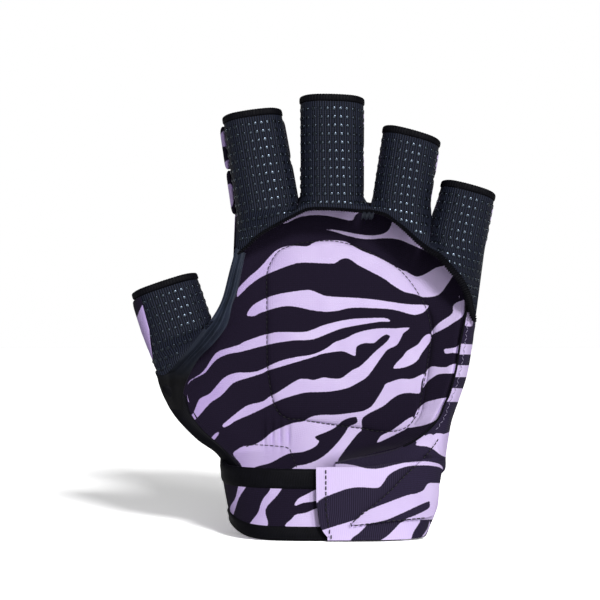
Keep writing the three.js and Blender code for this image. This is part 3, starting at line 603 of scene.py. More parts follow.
PALM_PRINT = {
    "under_yoke": [(-12, 139.9), (-1.7, 145.9), (21.2, 145.9), (20.6, 143.6), (18.5, 141.6), (17.6, 139.8),
        (15.2, 139.7), (11, 140.7), (6.1, 141.6), (1.3, 141.9), (-3.5, 141.4), (-6.5, 140.6), (-11.7, 138.2)],
    "ring_root": [(5.2, 136), (10.4, 135.4), (20, 133.6), (24.9, 133.1), (28.5, 133.3), (31.5, 134.2), (33.3, 135.9),
        (36.3, 140.8), (43.6, 137.2), (50.2, 131.8), (53.2, 126.3), (51.4, 125.9), (46.6, 127.5), (38.7, 130.9),
        (34.5, 131.8), (29.7, 131.8), (24.9, 131.5), (20, 131.9), (15.2, 133), (10.4, 134.5)],
    "top_band": [(-32.2, 106.7), (-31.9, 109.7), (-30.7, 111.5), (-27, 115.2), (-22.2, 119.4), (-18, 124.2),
        (-14.4, 127.2), (-9.5, 128.6), (-2.3, 128.4), (0.1, 129.6), (3.1, 130.7), (8.6, 131), (14, 130.5), (17, 129),
        (21.2, 126.6), (27.3, 124.2), (32.1, 121.8), (38.7, 118.2), (40.5, 117.6), (43, 116.1), (44.8, 115.4),
        (47.2, 115.8), (50.2, 117.3), (52.6, 118.8), (55.6, 119.8), (58.3, 119.8), (61.4, 117.6), (56.8, 110.1),
        (54.4, 107.6), (51.4, 106.7), (47.5, 106.6), (44.8, 107.7), (39.9, 108.8), (35.1, 111.5), (30.3, 114.9),
        (20, 120.3), (17, 122.4), (14.6, 123.3), (12.2, 122.7), (10.4, 121.5), (8, 121), (-3.5, 121.4), (-8.9, 120.5),
        (-18, 117), (-22.8, 114.6), (-27, 111.5), (-30.1, 108.5)],
    "second_band": [(-27.9, 98.9), (-27.6, 100.1), (-26.4, 101.9), (-24, 104), (-19.8, 106.1), (-14.4, 107.8),
        (-8.9, 108.8), (-2.3, 109.6), (0.7, 109.1), (3.7, 107.8), (8, 106.8), (24.2, 105.8), (40.1, 103.6),
        (48.8, 103.2), (50.2, 102.8), (49.4, 101.5), (47.9, 100), (44.9, 99), (41.9, 99.3), (34.1, 101.3),
        (21.8, 102), (15.8, 101.8), (11, 100.7), (6.1, 100.3), (0.1, 100.9), (-4.7, 102), (-9.5, 102.7),
        (-14.4, 102.2), (-22.2, 99.8), (-24.6, 98.5), (-27.2, 98.4)],
    "third_band": [(-53.4, 68.9), (-52.3, 70.8), (-46.6, 74.7), (-41.3, 82.4), (-34.7, 85), (-31.2, 86.1),
        (-29, 87.4), (-22, 89.9), (-18.6, 90.7), (-14.4, 91.5), (-4.1, 91.5), (0.1, 92.5), (4.9, 94.4), (10.4, 95.9),
        (17, 97.1), (24.2, 97.5), (31.5, 97.5), (33.4, 96.1), (28.5, 95.9), (17, 94), (11, 92.5), (1.9, 88.9),
        (-2.3, 88.1), (-7.1, 88), (-12, 87.4), (-18.6, 86.2), (-30.1, 83.2), (-34.7, 82.4), (-38.2, 81.3),
        (-40.9, 79.8), (-43.1, 77.6), (-44.8, 75.4), (-46.6, 73.6), (-51.8, 70.8)],
    "hairpin": [(-53.2, 54.8), (-51, 56.7), (-49, 61.6), (-47.5, 63.3), (-44.8, 64.6), (-43.1, 65.9), (-39.6, 70.1),
        (-37.4, 72.1), (-34.7, 73.4), (-31.7, 74.1), (-28.2, 74.1), (-24.2, 74.5), (-21.1, 75.6), (-16.8, 77.8),
        (-12, 79.6), (-5.9, 80.9), (-0.5, 81.7), (3.7, 83.2), (7.3, 85.3), (9.8, 87.1), (14.6, 88.9), (18.2, 90.7),
        (23, 92.2), (29.1, 93.1), (36.3, 93.1), (41.9, 93.4), (39.3, 91), (38.1, 88.6), (36.3, 85.9), (32.7, 84.1),
        (30.3, 81.4), (24.2, 72.9), (20, 69.9), (15.2, 67.5), (9.2, 66.2), (4.9, 65.8), (-2.3, 65.6), (-7.1, 64.5),
        (-12, 63), (-15.6, 61.5), (-24.6, 57), (-32.8, 53.4), (-35.3, 51.7), (-37.8, 50.6), (-38.5, 51.3),
        (-37.5, 52.5), (-31.4, 57.5), (-27.6, 60), (-22.8, 61.2), (-20.4, 62.1), (-18, 63.9), (-14.4, 65.8),
        (-6.5, 70.8), (-2.9, 71.4), (0.7, 70.9), (4.9, 72), (8, 71.6), (12.2, 71.6), (15.2, 73.5), (17.6, 75.3),
        (21.2, 77.2), (27.3, 83.2), (30.9, 86.2), (33.3, 88.9), (33.2, 90.1), (31.5, 90.4), (29.1, 88.9),
        (26.7, 86.9), (23, 86.8), (20.6, 86.2), (19.1, 85), (18.8, 82.6), (18.3, 81.3), (14.6, 82.9), (12.2, 83.3),
        (7.3, 82.7), (3.7, 82), (-0.5, 80.5), (-18, 75.3), (-22.2, 73.5), (-31.9, 70.5), (-34.9, 68.7), (-39.1, 64.2),
        (-43.9, 60.9), (-50.1, 54), (-52.3, 53.8)],
    "leaf": [(35, 76.1), (36.5, 78.4), (38.9, 80.8), (40.7, 83.2), (45.5, 86.2), (47.3, 88.6), (49.1, 90.3),
        (51, 90.5), (51.1, 88), (49.1, 85), (47.3, 82.6), (45.5, 79.6), (43.1, 77.7), (40.1, 76.5), (37.1, 75.9)],
    "leaf_on_roll": [(51.1, 90.3), (52.2, 92.8), (55.2, 95.8), (60.3, 99.5), (60.6, 102.5), (61.8, 104),
        (64.2, 104.9), (65.7, 104.9), (65.1, 98.9), (60.3, 95.2), (57, 93.1), (53.7, 91.5)],
    "fork": [(48.2, 73.6), (43.1, 71.4), (38.3, 71.4), (34.1, 70.2), (31.5, 69), (30.4, 66.9), (26.2, 60.3),
        (23.2, 58.1), (20.2, 57.2), (10.5, 56), (4.5, 55.9), (-0.3, 55.1), (-3.9, 53.1), (-8.2, 52.4), (-15.4, 49.5),
        (-18.2, 47.7), (-21.1, 45.2), (-23.6, 43.7), (-25.3, 42.9), (-29.3, 42.4), (-32.1, 41), (-33.9, 39),
        (-31, 35.3), (-29.3, 32.4), (-26.8, 32.4), (-23.9, 33.7), (-19.6, 34.8), (-16.8, 35.8), (-10.4, 39.2),
        (-4.7, 39.9), (-1.1, 41), (1.8, 42.7), (3, 44.5), (1.8, 45.6), (1.5, 46.7), (7.5, 49.2), (10.3, 50.9),
        (13.2, 53.4), (16, 54.6), (18.5, 55.1), (19.4, 54.4), (19.2, 52.4), (16, 50.9), (13.9, 47.7), (11, 44),
        (8.2, 41), (5, 38.2), (1.8, 36.3), (-2.5, 34.7), (-7.2, 33.7), (-8.2, 31), (8.9, 31), (11.4, 37), (18.9, 47),
        (21.4, 49.7), (22, 54.9), (30.4, 59.6), (33.5, 62.1), (36.5, 64.2), (38.9, 65.1), (41.9, 65.4), (46.1, 65.2),
        (46.7, 67.2), (47.2, 70.5)],
    "low_leaf": [(27.9, 44.1), (29.8, 47), (33.5, 48.8), (37.1, 51.2), (40.7, 53.9), (43.4, 55.1), (43.1, 53),
        (41.3, 50.9), (39.5, 49.4), (30.4, 44.9)],
    "roll_low": [(41.4, 50.5), (43.4, 53), (44.9, 57.2), (46.7, 59.6), (50.3, 61.8), (58.8, 63.4), (57.9, 60.9),
        (55.2, 55.7), (52.8, 53.5), (49.1, 51.8), (44.9, 50.9)],
    "roll_middle": [(47.6, 67.4), (48.2, 71.7), (49.4, 75), (51.6, 76.7), (55.2, 76.4), (57.9, 76.5), (59.7, 77.4),
        (62.4, 77.7), (62.1, 74.1), (55.2, 73.6), (52.2, 72.2), (49.4, 70)],
    "roll_dash": [(56.7, 83.5), (57.2, 84.3), (58.8, 84.4), (61.8, 85), (63.9, 86.2), (64.2, 82.5), (60.6, 82.6),
        (57.6, 82.3)],
    "corner": [(-43.7, 45.2), (-42.1, 47.4), (-40.3, 48.6), (-40.1, 47.7), (-41.4, 45.9), (-42.6, 44.8)],
}
CUFF_PRINT = {
    "left": [(-31, 26.7), (-27.5, 26.7), (-31.4, 20.3), (-33.5, 13.9), (-34.3, 12.3), (-35.1, 14.6), (-35, 16.7),
        (-33.2, 19.6), (-32.3, 22.4)],
    "middle": [(-16.8, 25.6), (-12.5, 25.6), (-15, 21.3), (-20, 15.3), (-19.1, 8.2), (-26.8, 8.2), (-23.2, 13.9),
        (-22.1, 17.4), (-20.7, 20.3), (-18.6, 22.8)],
    "upper_tip": [(3.2, 24.2), (-2.5, 21.7), (-6.1, 19.7), (-7.4, 16.9), (-3.9, 18.1), (3.2, 19.6)],
    "lower_tip": [(3.2, 15.6), (-2.5, 13.9), (-6.8, 13.1), (-8.6, 11.4), (-11.1, 7.8), (3.2, 7.8)],
}
STRAP_PRINT = {
    "top": [(-1.1, 33.8), (6, 34.2), (12.5, 34.9), (18.2, 34.2), (23.2, 33), (28.9, 32.9), (37.4, 34.9), (41.7, 35.6),
        (47.4, 36), (51.7, 35.6), (55.2, 34.5), (56.5, 32.4), (54.5, 33.5), (50.2, 34.2), (44.5, 34.2), (39.6, 33.5),
        (35.3, 31.7), (32.4, 29.5), (30.6, 26.7), (28.1, 24.6), (20.3, 24.9), (15.3, 24.2), (11, 22.8), (6.7, 21),
        (5.8, 19.6), (-1.1, 18.9)],
    "shoulder": [(50.2, 47.7), (54.2, 46.2), (57, 47.7), (60.9, 48.1), (60.9, 36.7), (57.7, 37.7), (55.2, 38.8),
        (52.4, 41), (49.5, 42.4), (44.5, 43.2)],
    "arm": [(51.7, 26.7), (49.5, 26), (47.8, 23.5), (44.5, 22.1), (41.7, 21.6), (36, 19.6), (23.2, 14.6), (21.4, 13),
        (17.1, 8.2), (30.3, 10.4), (37.4, 13.1), (49.2, 18.5), (50.6, 17.8), (49.9, 15.6), (44.5, 12.8), (40.3, 11.1),
        (44.5, 10.9), (54.5, 11.6), (57.4, 16.7), (57.4, 25.3)],
    "foot": [(1.8, 4.9), (6.7, 7.1), (18.9, 11), (21.4, 13), (23.9, 9.6), (20.3, 5.3), (17.4, 3.2), (13.9, -0.4),
        (1.8, -0.4)],
    "heel": [(39.2, 10.2), (46.3, 10.9), (43.8, 6), (40.3, 0.3), (28.1, 0.3), (32.4, 3.9), (35.3, 6.7)],
    "sliver": [(50.5, 10.2), (50.8, 9.2), (50.2, 7.1), (48.8, 4.7), (46.8, 3), (48.5, 5.3), (49.8, 7.6)],
}
# Patches on the side pieces: the index finger's blocks, the thumb's root and the little-finger side
SIDE_PRINT = {
    "index_upper": [(-40.5, 172), (-38.8, 177.5), (-36.5, 177.8), (-34.8, 175), (-36.6, 171.6)],
    "index_notch": [(-38.5, 162.5), (-36.5, 165.5), (-34.2, 165), (-34.8, 161.8)],
    "index_lower": [(-39, 145.6), (-38.2, 152), (-35.6, 155.3), (-33.6, 153), (-34, 146.5), (-36, 144.5)],
    "thumb_root": [(-72.5, 103.6), (-71.4, 100.2), (-70.1, 95.9), (-69, 91.2), (-67.9, 85.6), (-67.1, 80.4),
        (-66.7, 76.1), (-69.7, 73), (-76, 80), (-76.4, 90), (-75.6, 96.5), (-74.2, 100.6)],
    "side_first": [(58.5, 86.2), (69.2, 86.2), (73.1, 85.6), (73.1, 81.7), (68.4, 81.9), (59.3, 82.3)],
    "side_second": [(55, 77), (66.2, 77.2), (72.2, 77), (72.2, 72.2), (65.8, 72.2), (55, 72.7)],
    "side_third": [(50.7, 67.1), (63.6, 67.3), (70.1, 66.7), (70.1, 61.9), (63.2, 61.5), (50.7, 62.4)],
    "side_fourth": [(44.8, 48.2), (48.2, 47.2), (51, 46.4), (53.5, 48), (57.8, 47.6), (62, 48), (62, 36),
        (57.8, 37.8), (53, 41), (46, 43.6), (43.8, 46)],
    "side_top": [(64.5, 99.8), (66.2, 100.2), (68.8, 99.3), (69.2, 96.8), (68.8, 94.2), (66.2, 94.2), (64.5, 95.9)],
}
PANEL_LINE = [(-19.4, 105.3), (-19.4, 116.1), (-17.6, 121.7), (-14.6, 126), (-11.2, 127.9), (-5.2, 129.6),
    (4.3, 130.7), (12, 130.3), (20.6, 127.7), (29.2, 123.6), (36.1, 119.5), (41.3, 114.4), (46.2, 107.3), (49, 101.9),
    (50.7, 95.9), (51.3, 90.3), (50.7, 85.1), (49.7, 78.7), (48.6, 71.8), (46.9, 63.6), (45.6, 57.2), (42.6, 52.5),
    (38.7, 49.7), (33.5, 48.8), (27.1, 49), (21.4, 50.1), (9.9, 51.6), (-5.2, 53.8), (-10.3, 54.4), (-14.2, 56.8),
    (-16.6, 61.5), (-18.1, 68.8), (-19.2, 77), (-19.4, 91.2)]
YOKE_EDGE = [(-32.7, 125.1), (-31, 126), (-27.9, 128.6), (-22.4, 133.7), (-14.2, 138.5), (-6, 142.8), (-0.9, 144.7),
    (9.9, 144.7), (21.1, 143.8), (24.9, 143.8), (31.4, 142.3), (35.7, 139.3), (40, 135.9), (45.6, 130.7),
    (50.7, 126.8), (55, 124.3), (59.3, 119.5), (63.6, 114.4), (66.2, 109.6), (67.5, 105.3), (68.8, 100.2),
    (70.1, 95.9)]
THUMB_ROOT = [(-67.9, 77), (-65.8, 73.5), (-62.8, 73.5), (-57.6, 78.7), (-51.8, 85.6), (-46.9, 92), (-43, 97.2)]
WEB_INNER = [(-28.4, 125.1), (-29.2, 121.7), (-31.8, 109.6), (-34, 103.2), (-36.1, 94.6), (-41.7, 86.9),
    (-48.2, 80.4), (-52.5, 73.1), (-54.6, 68.4), (-55.5, 63.2), (-55, 58)]
WEB_OUTER = [(-32.7, 127.7), (-35.3, 118.2), (-38.7, 105.3), (-43, 97.2), (-46.9, 92), (-51.8, 85.6), (-57.6, 79.1),
    (-62.8, 74.4), (-67.2, 74.8), (-66.4, 71.8), (-65.8, 69.2), (-64.1, 64.5), (-61.1, 58.5)]
ROLL_INNER = [(43.4, 112.7), (47.3, 106.6), (50.3, 101), (52, 92.5), (51.2, 83.8), (49.9, 74.4), (48.2, 63.2),
    (46.4, 55.9), (43, 51.2)]
ROLL_OUTER = [(64.5, 112.7), (64.9, 106.6), (64.1, 96.8), (62.8, 88.2), (61.5, 79.5), (60.2, 72.7), (58, 65.8),
    (55.9, 60.2), (50.7, 51.6)]
ZIGZAG = [(67.1, 97.6), (65.8, 86), (64.1, 76.1), (61.9, 67.5), (59.3, 61.5), (56.8, 54.6), (53.3, 49.4)]
FLAP = [(16.8, 8.6), (23.2, 9), (31.4, 10.1), (41.3, 11), (48.6, 11.7), (52.5, 12.9)]
SEAM_LOW = [(-28.8, 42.1), (-25.8, 43), (-21.5, 43), (-15.9, 42.6), (-10.3, 41.7), (-8.6, 38.7), (-6.5, 33.1)]
DIAGONAL = [(16.8, 8.6), (21.1, 12.9), (26.2, 16.8), (34, 23.6), (40, 29.9), (45.1, 34.4), (51.2, 38.7), (57.4, 40)]
SEAM_HIGH = [(45.1, 34.4), (48.2, 37.6), (51.2, 41.3), (52.9, 43.4), (54.4, 45.8)]
BAND_OUTER = [(-64.7, 67.5), (-63.4, 63.6), (-61.3, 58.9), (-56.8, 52.7), (-49.2, 45.1), (-41.7, 39.8), (-37.8, 34.8),
    (-34, 29.7)]
RIGHT_SEAM = [(67.5, 104.9), (66.4, 97.6), (65.4, 92.5), (64.1, 86), (62.8, 77.4), (61.5, 71.8), (59.3, 64.5),
    (57.6, 61.1), (55, 55), (49.9, 49.2), (44.3, 45.1), (39.1, 42.6), (33.5, 40.6), (24.9, 38.7), (16.3, 37.2),
    (9.9, 35.7)]
WALL_OUTER = [(70.5, 103.2), (70.3, 95), (69.7, 91.2), (69, 86), (66.7, 73.1), (63.2, 62.4), (60.2, 53.8),
    (58.9, 47.3), (57.6, 38.7), (56.8, 31.8), (49.9, 28.8), (40, 28.8), (27.1, 28.8), (9.9, 28.8)]
BAND_INNER = [(-62.8, 69.2), (-58.5, 67.5), (-54.4, 64.1), (-53.1, 59.8), (-51.4, 55.5), (-46.7, 49.4), (-40, 43.6),
    (-29.7, 34)]


# ---- The print ----

def inside_distance(places, outlines, reach=3.0):
    """Distance in mm to the nearest stripe edge, above zero inside a stripe, for each place."""
    best = np.full(len(places), -reach)
    for outline in outlines:
        line = rounded(outline, closed=True, steps=4)
        low, high = line.min(0) - reach, line.max(0) + reach
        near = np.where(((places > low) & (places < high)).all(1))[0]
        if not len(near):
            continue
        p = places[near]
        a, b = line, np.roll(line, -1, axis=0)
        gap = np.full(len(p), 1e9)
        crossings = np.zeros(len(p), int)
        for (ax, az), (bx, bz), (ex, ez) in zip(a, b, b - a):
            along = np.clip(((p[:, 0] - ax) * ex + (p[:, 1] - az) * ez) / (ex * ex + ez * ez + 1e-12), 0, 1)
            gap = np.minimum(gap, (p[:, 0] - ax - along * ex) ** 2 + (p[:, 1] - az - along * ez) ** 2)
            if az != bz:
                spans = (az > p[:, 1]) != (bz > p[:, 1])
                crossings += spans & (p[:, 0] < (bx - ax) * (p[:, 1] - az) / (bz - az) + ax)
        gap = np.sqrt(gap)
        best[near] = np.maximum(best[near], np.where(crossings % 2 == 1, gap, -gap))
    return np.clip(best, -reach, reach)


def lay_print(obj, outlines, hidden=None):
    """Stores how far each point lies inside the printed stripes, in mm."""
    co = coordinates(obj)
    places = as_seen(co / MM)
    if hidden is None:
        value = inside_distance(places, outlines)
    else:
        # the side away from the camera carries another length of the same print
        away = co[:, 1] > 0
        places[away] = places[away] * (-1, 1) + (6, 88)
        value = np.where(away, inside_distance(places, hidden), inside_distance(places, outlines))
    layer = obj.data.attributes.get("print") or obj.data.attributes.new("print", "FLOAT", "POINT")
    layer.data.foreach_set("value", value.astype(np.float32))


# ---- Materials ----

def linear(code):
    """An sRGB hex colour as linear values."""
    values = [int(code[i:i + 2], 16) / 255 for i in (1, 3, 5)]
    return tuple(v / 12.92 if v <= 0.04045 else ((v + 0.055) / 1.055) ** 2.4 for v in values) + (1.0,)


def cleared(owner):
    """The empty node tree of a material or world."""
    owner.use_nodes = True
    owner.node_tree.nodes.clear()
    return owner.node_tree


def add(tree, kind, inputs=None, **settings):
    """A node with its settings; an input is a value, or an output to link."""
    node = tree.nodes.new("ShaderNode" + kind)
    for key, value in settings.items():
        setattr(node, key, value)
    for key, value in (inputs or {}).items():
        if isinstance(value, bpy.types.NodeSocket):
            tree.links.new(value, node.inputs[key])
        else:
            node.inputs[key].default_value = value
    return node


def calc(tree, operation, *inputs, **settings):
    """The result of a Math node."""
    return add(tree, "Math", dict(enumerate(inputs)), operation=operation, **settings).outputs[0]


def mixed(tree, share, first, second):
    """A colour between two, each an sRGB hex, linear values or an output."""
    first, second = (linear(c) if isinstance(c, str) else c for c in (first, second))
    return add(tree, "Mix", {0: share, 6: first, 7: second}, data_type="RGBA").outputs[2]


def object_place(tree):
    return add(tree, "TexCoord").outputs["Object"]


def noise(tree, place, scale, detail, **inputs):
    return add(tree, "TexNoise", {"Vector": place, "Scale": scale, "Detail": detail, **inputs}).outputs["Fac"]


def ribs(tree, socket, pitch):
    """Rounded ridges across a coordinate in metres, one for each pitch in metres."""
    wave = calc(tree, "SINE", calc(tree, "MULTIPLY", socket, 2 * math.pi / pitch))
    return calc(tree, "MULTIPLY_ADD", wave, 0.5, 0.5)


def cloth_ways(tree):
    """Place across and along the cloth, in metres."""
    parts = add(tree, "SeparateXYZ", {0: add(tree, "UVMap", uv_map="cloth").outputs["UV"]})
    return parts.outputs["X"], parts.outputs["Y"]


def new_surface(name, roughness, specular, build, sheen=None, sheen_roughness=0.4, **values):
    """The material of this name, made on first use: build gives its colour, and its bump's height, strength and
    distance in metres."""
    material = bpy.data.materials.get(name)
    if material is None:
        material = bpy.data.materials.new(name)
        tree = cleared(material)
        if sheen is not None:
            values.update({"Sheen Weight": sheen, "Sheen Roughness": sheen_roughness})
        shader = add(tree, "BsdfPrincipled", {"Roughness": roughness, "Specular IOR Level": specular, **values})
        add(tree, "OutputMaterial", {"Surface": shader.outputs["BSDF"]})
        colour, *bump = build(tree)
        tree.links.new(colour, shader.inputs["Base Color"])
        if bump:
            bump = add(tree, "Bump", dict(zip(("Height", "Strength", "Distance"), bump)))
            tree.links.new(bump.outputs["Normal"], shader.inputs["Normal"])
    return material


def stripe_edge(tree, value, width):
    return add(tree, "MapRange", {"Value": value, "From Min": -width, "From Max": width},
               interpolation_type="SMOOTHSTEP").outputs["Result"]


def zebra_mask(tree, palm_print):
    """1 on the pale stripes. The palm's come from its print attribute, the rest from warped waves."""
    place = object_place(tree)
    if palm_print:
        jitter = calc(tree, "SUBTRACT", noise(tree, place, 1800.0, 1.0), 0.5)
        value = add(tree, "Attribute", attribute_name="print").outputs["Fac"]
        return stripe_edge(tree, calc(tree, "MULTIPLY_ADD", jitter, 0.35, value), 0.14)
    warp = noise(tree, place, 26.0, 1.5, Roughness=0.4)
    taper = noise(tree, place, 44.0, 0.5)
    parts = add(tree, "SeparateXYZ", {0: place}).outputs
    slope = calc(tree, "MULTIPLY_ADD", parts["X"], 0.42, parts["Z"])
    phase = calc(tree, "MULTIPLY_ADD", warp, 11.0, calc(tree, "MULTIPLY", slope, 2 * math.pi / 0.0165))
    level = calc(tree, "MULTIPLY_ADD", taper, 3.4, -1.45)
    return stripe_edge(tree, calc(tree, "SUBTRACT", calc(tree, "SINE", phase), level), 0.05)


def printed_jersey(palm_print=True, painted_light_copy=False):
    """Printed polyester jersey laminated to foam: matt, with a soft bloom at the edges and a fine stitch."""
    def build(tree):
        look = bpy.context.scene.glove_colours
        mask = zebra_mask(tree, palm_print)
        place = object_place(tree)
        # thread flecks, 0.5 mm, coarser than the real 0.3 mm so that they show
        fleck = noise(tree, place, 2000.0, 2.0)
        # painted shade: the pale stripes darken to a shaded lavender towards the thumb side, with a random mottle on
        # top
        across = add(tree, "SeparateXYZ", {0: place}).outputs["X"]
        painted_shade_and_mottle = add(tree, "MapRange", {0: across, 1: 0.0, 2: -0.05, 3: -0.35, 4: 0.55}).outputs[0]
        painted_shade_and_mottle = calc(tree, "ADD", noise(tree, place, 60.0, 2.0), painted_shade_and_mottle, use_clamp=True)
        pale = mixed(tree, painted_shade_and_mottle, look.lavender, look.lavender_shaded)
        # painted highlight: the dark stripes are lighter where the knit's loops stand up, as well as at the thread
        # flecks
        across, along = cloth_ways(tree)
        knit = calc(tree, "MULTIPLY", ribs(tree, across, 0.0008), ribs(tree, along, 0.0009))
        knit = calc(tree, "MULTIPLY_ADD", fleck, 0.8, knit)
        # painted light: with painted_light_copy the dark stripes take lighter colours, a lit copy of the same print for
        # the side wall and the strap's side cloth
        dark = mixed(tree, knit, *(("#231d2e", "#2f2840") if painted_light_copy else (look.stripe, look.stripe_crest_and_fleck)))
        return mixed(tree, mask, dark, pale), knit, 0.6, 0.00015
    kind = "side" if painted_light_copy else "palm" if palm_print else "overall"
    return new_surface("printed_jersey_" + kind, 0.8, 0.06, build, 0.02, 0.5)


def ribbed_knit():
    """Slate-navy ribbed knit: upright wales 1.1 mm apart that catch the light along the finger, with painted shade that
    turns the colour near black between the wales.
    """
    def build(tree):
        look = bpy.context.scene.glove_colours
        across, along = cloth_ways(tree)
        wales = ribs(tree, across, 0.00109)
        height = calc(tree, "MULTIPLY_ADD", ribs(tree, along, 0.0009), 0.3, wales)
        return mixed(tree, wales, look.knit_valley_shade, look.knit), height, 0.7, 0.00025
    return new_surface("ribbed_knit", 0.5, 0.1, build, 0.01)


def plain_cloth(name, base, light, pitch_across, pitch_along, depth, roughness, sheen, specular, shaded_below=False):
    """Woven or knitted cloth of one colour, with its ribs across and along at their own spacings in metres."""
    def build(tree):
        across, along = cloth_ways(tree)
        height = ribs(tree, across, pitch_across)
        if pitch_along:
            height = calc(tree, "MULTIPLY", height, ribs(tree, along, pitch_along))
        place = object_place(tree)
        share = calc(tree, "MULTIPLY_ADD", height, 0.6, noise(tree, place, 220.0, 3.0))
        # painted shade: darker in the rib valleys and lighter on the crests, with a random mottle
        colour = mixed(tree, calc(tree, "SUBTRACT", share, 0.25, use_clamp=True), base, light)
        if shaded_below:
            # painted shade: darker towards the bottom, where it runs in under the binding
            up = add(tree, "SeparateXYZ", {0: place}).outputs["Z"]
            low = add(tree, "MapRange", {0: up, 1: 0.068, 2: 0.092, 3: 0.0, 4: 1.0}).outputs[0]
            colour = mixed(tree, low, "#050508", colour)
        return colour, height, 0.6, depth
    return new_surface(name, roughness, specular, build, sheen)


def folded_tape():
    """Folded stretch binding tape, near black, with fine ribs across it and a dull shine on its fold."""
    return plain_cloth("folded_tape", "#040407", "#0f0f15", 0.0007, 0, 0.0001, 0.55, 0.0, 0.07)


def web_lycra():
    """Smooth slate-grey stretch fabric, thin and slightly shiny, so that its folds show by soft highlights."""
    # its last argument paints shade on its low part
    return plain_cloth("web_lycra", "#1d222d", "#30384a", 0.0006, 0.0006, 0.00005, 0.5, 0.02, 0.14, True)


def elastic_webbing():
    """Woven elastic with upright ribs 0.9 mm apart, printed with the stripes; the dark ground reads purple-grey."""
    def build(tree):
        rib = ribs(tree, cloth_ways(tree)[0], 0.0009)
        # painted shade: pale and dark ground alike are darker in the rib valleys and lighter on the crests
        pale = mixed(tree, rib, "#d6c4ee", bpy.context.scene.glove_colours.lavender)
        colour = mixed(tree, zebra_mask(tree, True), mixed(tree, rib, "#1c1728", "#322b42"), pale)
        return colour, rib, 0.3, 0.00012
    return new_surface("elastic_webbing", 0.75, 0.1, build, 0.02)


def grained(name, first, second, scale, detail, roughness, specular, bump=(), cells=False, **values):
    """A surface whose colour and bump both follow one fine texture."""
    def build(tree):
        place = object_place(tree)
        grain = (add(tree, "TexVoronoi", {"Vector": place, "Scale": scale}).outputs["Distance"] if cells
                 else noise(tree, place, scale, detail))
        return (mixed(tree, grain, first, second),) + ((grain,) + bump if bump else ())
    return new_surface(name, roughness, specular, build, **values)


def grip_silicone():
    """Printed silicone grip dots: black and glossy, each with one small highlight."""
    return grained("grip_silicone", "#040409", "#0a0a10", 400.0, 1.0, 0.2, 0.8,
                   **{"Specular Tint": (0.62, 0.78, 1.0, 1.0)})


def closed_cell_foam():
    """Cut closed-cell foam: dull charcoal with fine pores."""
    return grained("closed_cell_foam", "#2c2c31", "#4a4a50", 1400.0, None, 0.95, 0.2, (0.5, 0.0002), cells=True)


def hook_tape():
    """Hook-and-loop tape: black pile that breaks the light into fine grain."""
    return grained("hook_tape", "#0c0c0e", "#26272b", 1200.0, 3.0, 0.9, 0.2, (1.0, 0.0005), **{"Sheen Weight": 0.2})


def sewing_thread(colour, code, roughness):
    """Bonded polyester thread: a fine twist and a faint shine."""
    worn = tuple(0.6 * v for v in linear(code)[:3]) + (1.0,)
    return grained(colour + "_thread", code, worn, 2500.0, 1.0, roughness, 0.4)


def black_thread():
    """The glove's own thread, in its visible seams."""
    return sewing_thread("black", "#121217", 0.45)


# ---- Sizes and colours a user would change ----

def colour_of(name, what, code):
    return bpy.props.FloatVectorProperty(name=name, description=what, subtype="COLOR", size=4, min=0, max=1,
                                         default=linear(code))


def length_of(name, what, default, least):
    """A length property: its default and least value in mm."""
    return bpy.props.FloatProperty(name=name, description=what, unit="LENGTH", precision=5, default=default * MM,
                                   min=least * MM)


class GloveColours(bpy.types.PropertyGroup):
    lavender: colour_of("Lavender", "Pale stripes", "#dccbf3")
    # painted shade: the colour the pale stripes take where shade is painted in, towards the thumb side
    lavender_shaded: colour_of("Deep lavender", "Pale stripes where the cloth is denser", "#b9a2d8")
    stripe: colour_of("Dark stripe", "Dark stripes", "#161120")
    # lighter dark-stripe colour: painted highlight on the knit's raised loops, and the thread flecks
    stripe_crest_and_fleck: colour_of("Dark stripe fleck", "Flecks in the dark stripes", "#211a2c")
    knit: colour_of("Knit", "Wales of the stall knit", "#252a3b")
    # painted shade: the colour between the wales
    knit_valley_shade: colour_of("Knit between wales", "Between the wales of the stall knit", "#06070d")


def in_mm(size):
    """A size property in mm, at the single precision that properties keep."""
    return float(np.float32(round(size / MM, 4)))


class GloveSizes(bpy.types.PropertyGroup):
    dot_across: length_of("Dot pitch across", "From one grip dot to the next, side to side", 3.26, 2)
    dot_along: length_of("Dot pitch along", "From one grip dot to the next, along the finger", 3.7, 2)
    dot_radius: length_of("Dot radius", "Radius of a grip dot", 0.95, 0.2)
    panel_rise: length_of("Panel rise", "Height of the quilted panel", 2.8, 1)
    stitch_length: length_of("Stitch length", "Length of a lockstitch", 1.7, 0.5)


# ---- What each piece shares ----

# The strap's cloth beside its seam: a piece given this body is left with no body, its place baked in
PEELING = "bends from the hand to the strap"
SHEET = "sheet"


def finish_piece(obj, body, material, nodes=(), soft=None, prints=None, hidden=None):
    """Gives a piece its print, material and slot, the solids it stands for, and its body.
    For a sheet it calls declare_sheet; the fill given for a pad is not used."""
    if prints is not None:
        lay_print(obj, prints, hidden)
    obj.data.materials.clear()
    obj.data.materials.append(material)
    if nodes:
        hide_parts(*nodes)
    if body == PEELING:
        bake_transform(obj)
    else:
        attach(obj, body)
    if soft == SHEET:
        declare_sheet(obj)


def sew(name, places, way, size, material=None, body="hand", normal=(0.0, -1.0, 0.0), nodes=()):
    """A row of stitches on places, each with its length and the half width and height of its thread in mm."""
    way, normal = (np.broadcast_to(np.asarray(v, float), places.shape) for v in (way, normal))
    seam = stamped(name, stitch(), places, way, normal, size)
    finish_piece(seam, body, material or black_thread(), nodes)


def cloth_size(obj):
    """Width and length of the cloth map, in metres."""
    place = np.empty(len(obj.data.loops) * 2)
    obj.data.uv_layers["cloth"].data.foreach_get("uv", place)
    return np.ptp(place.reshape(-1, 2), axis=0)


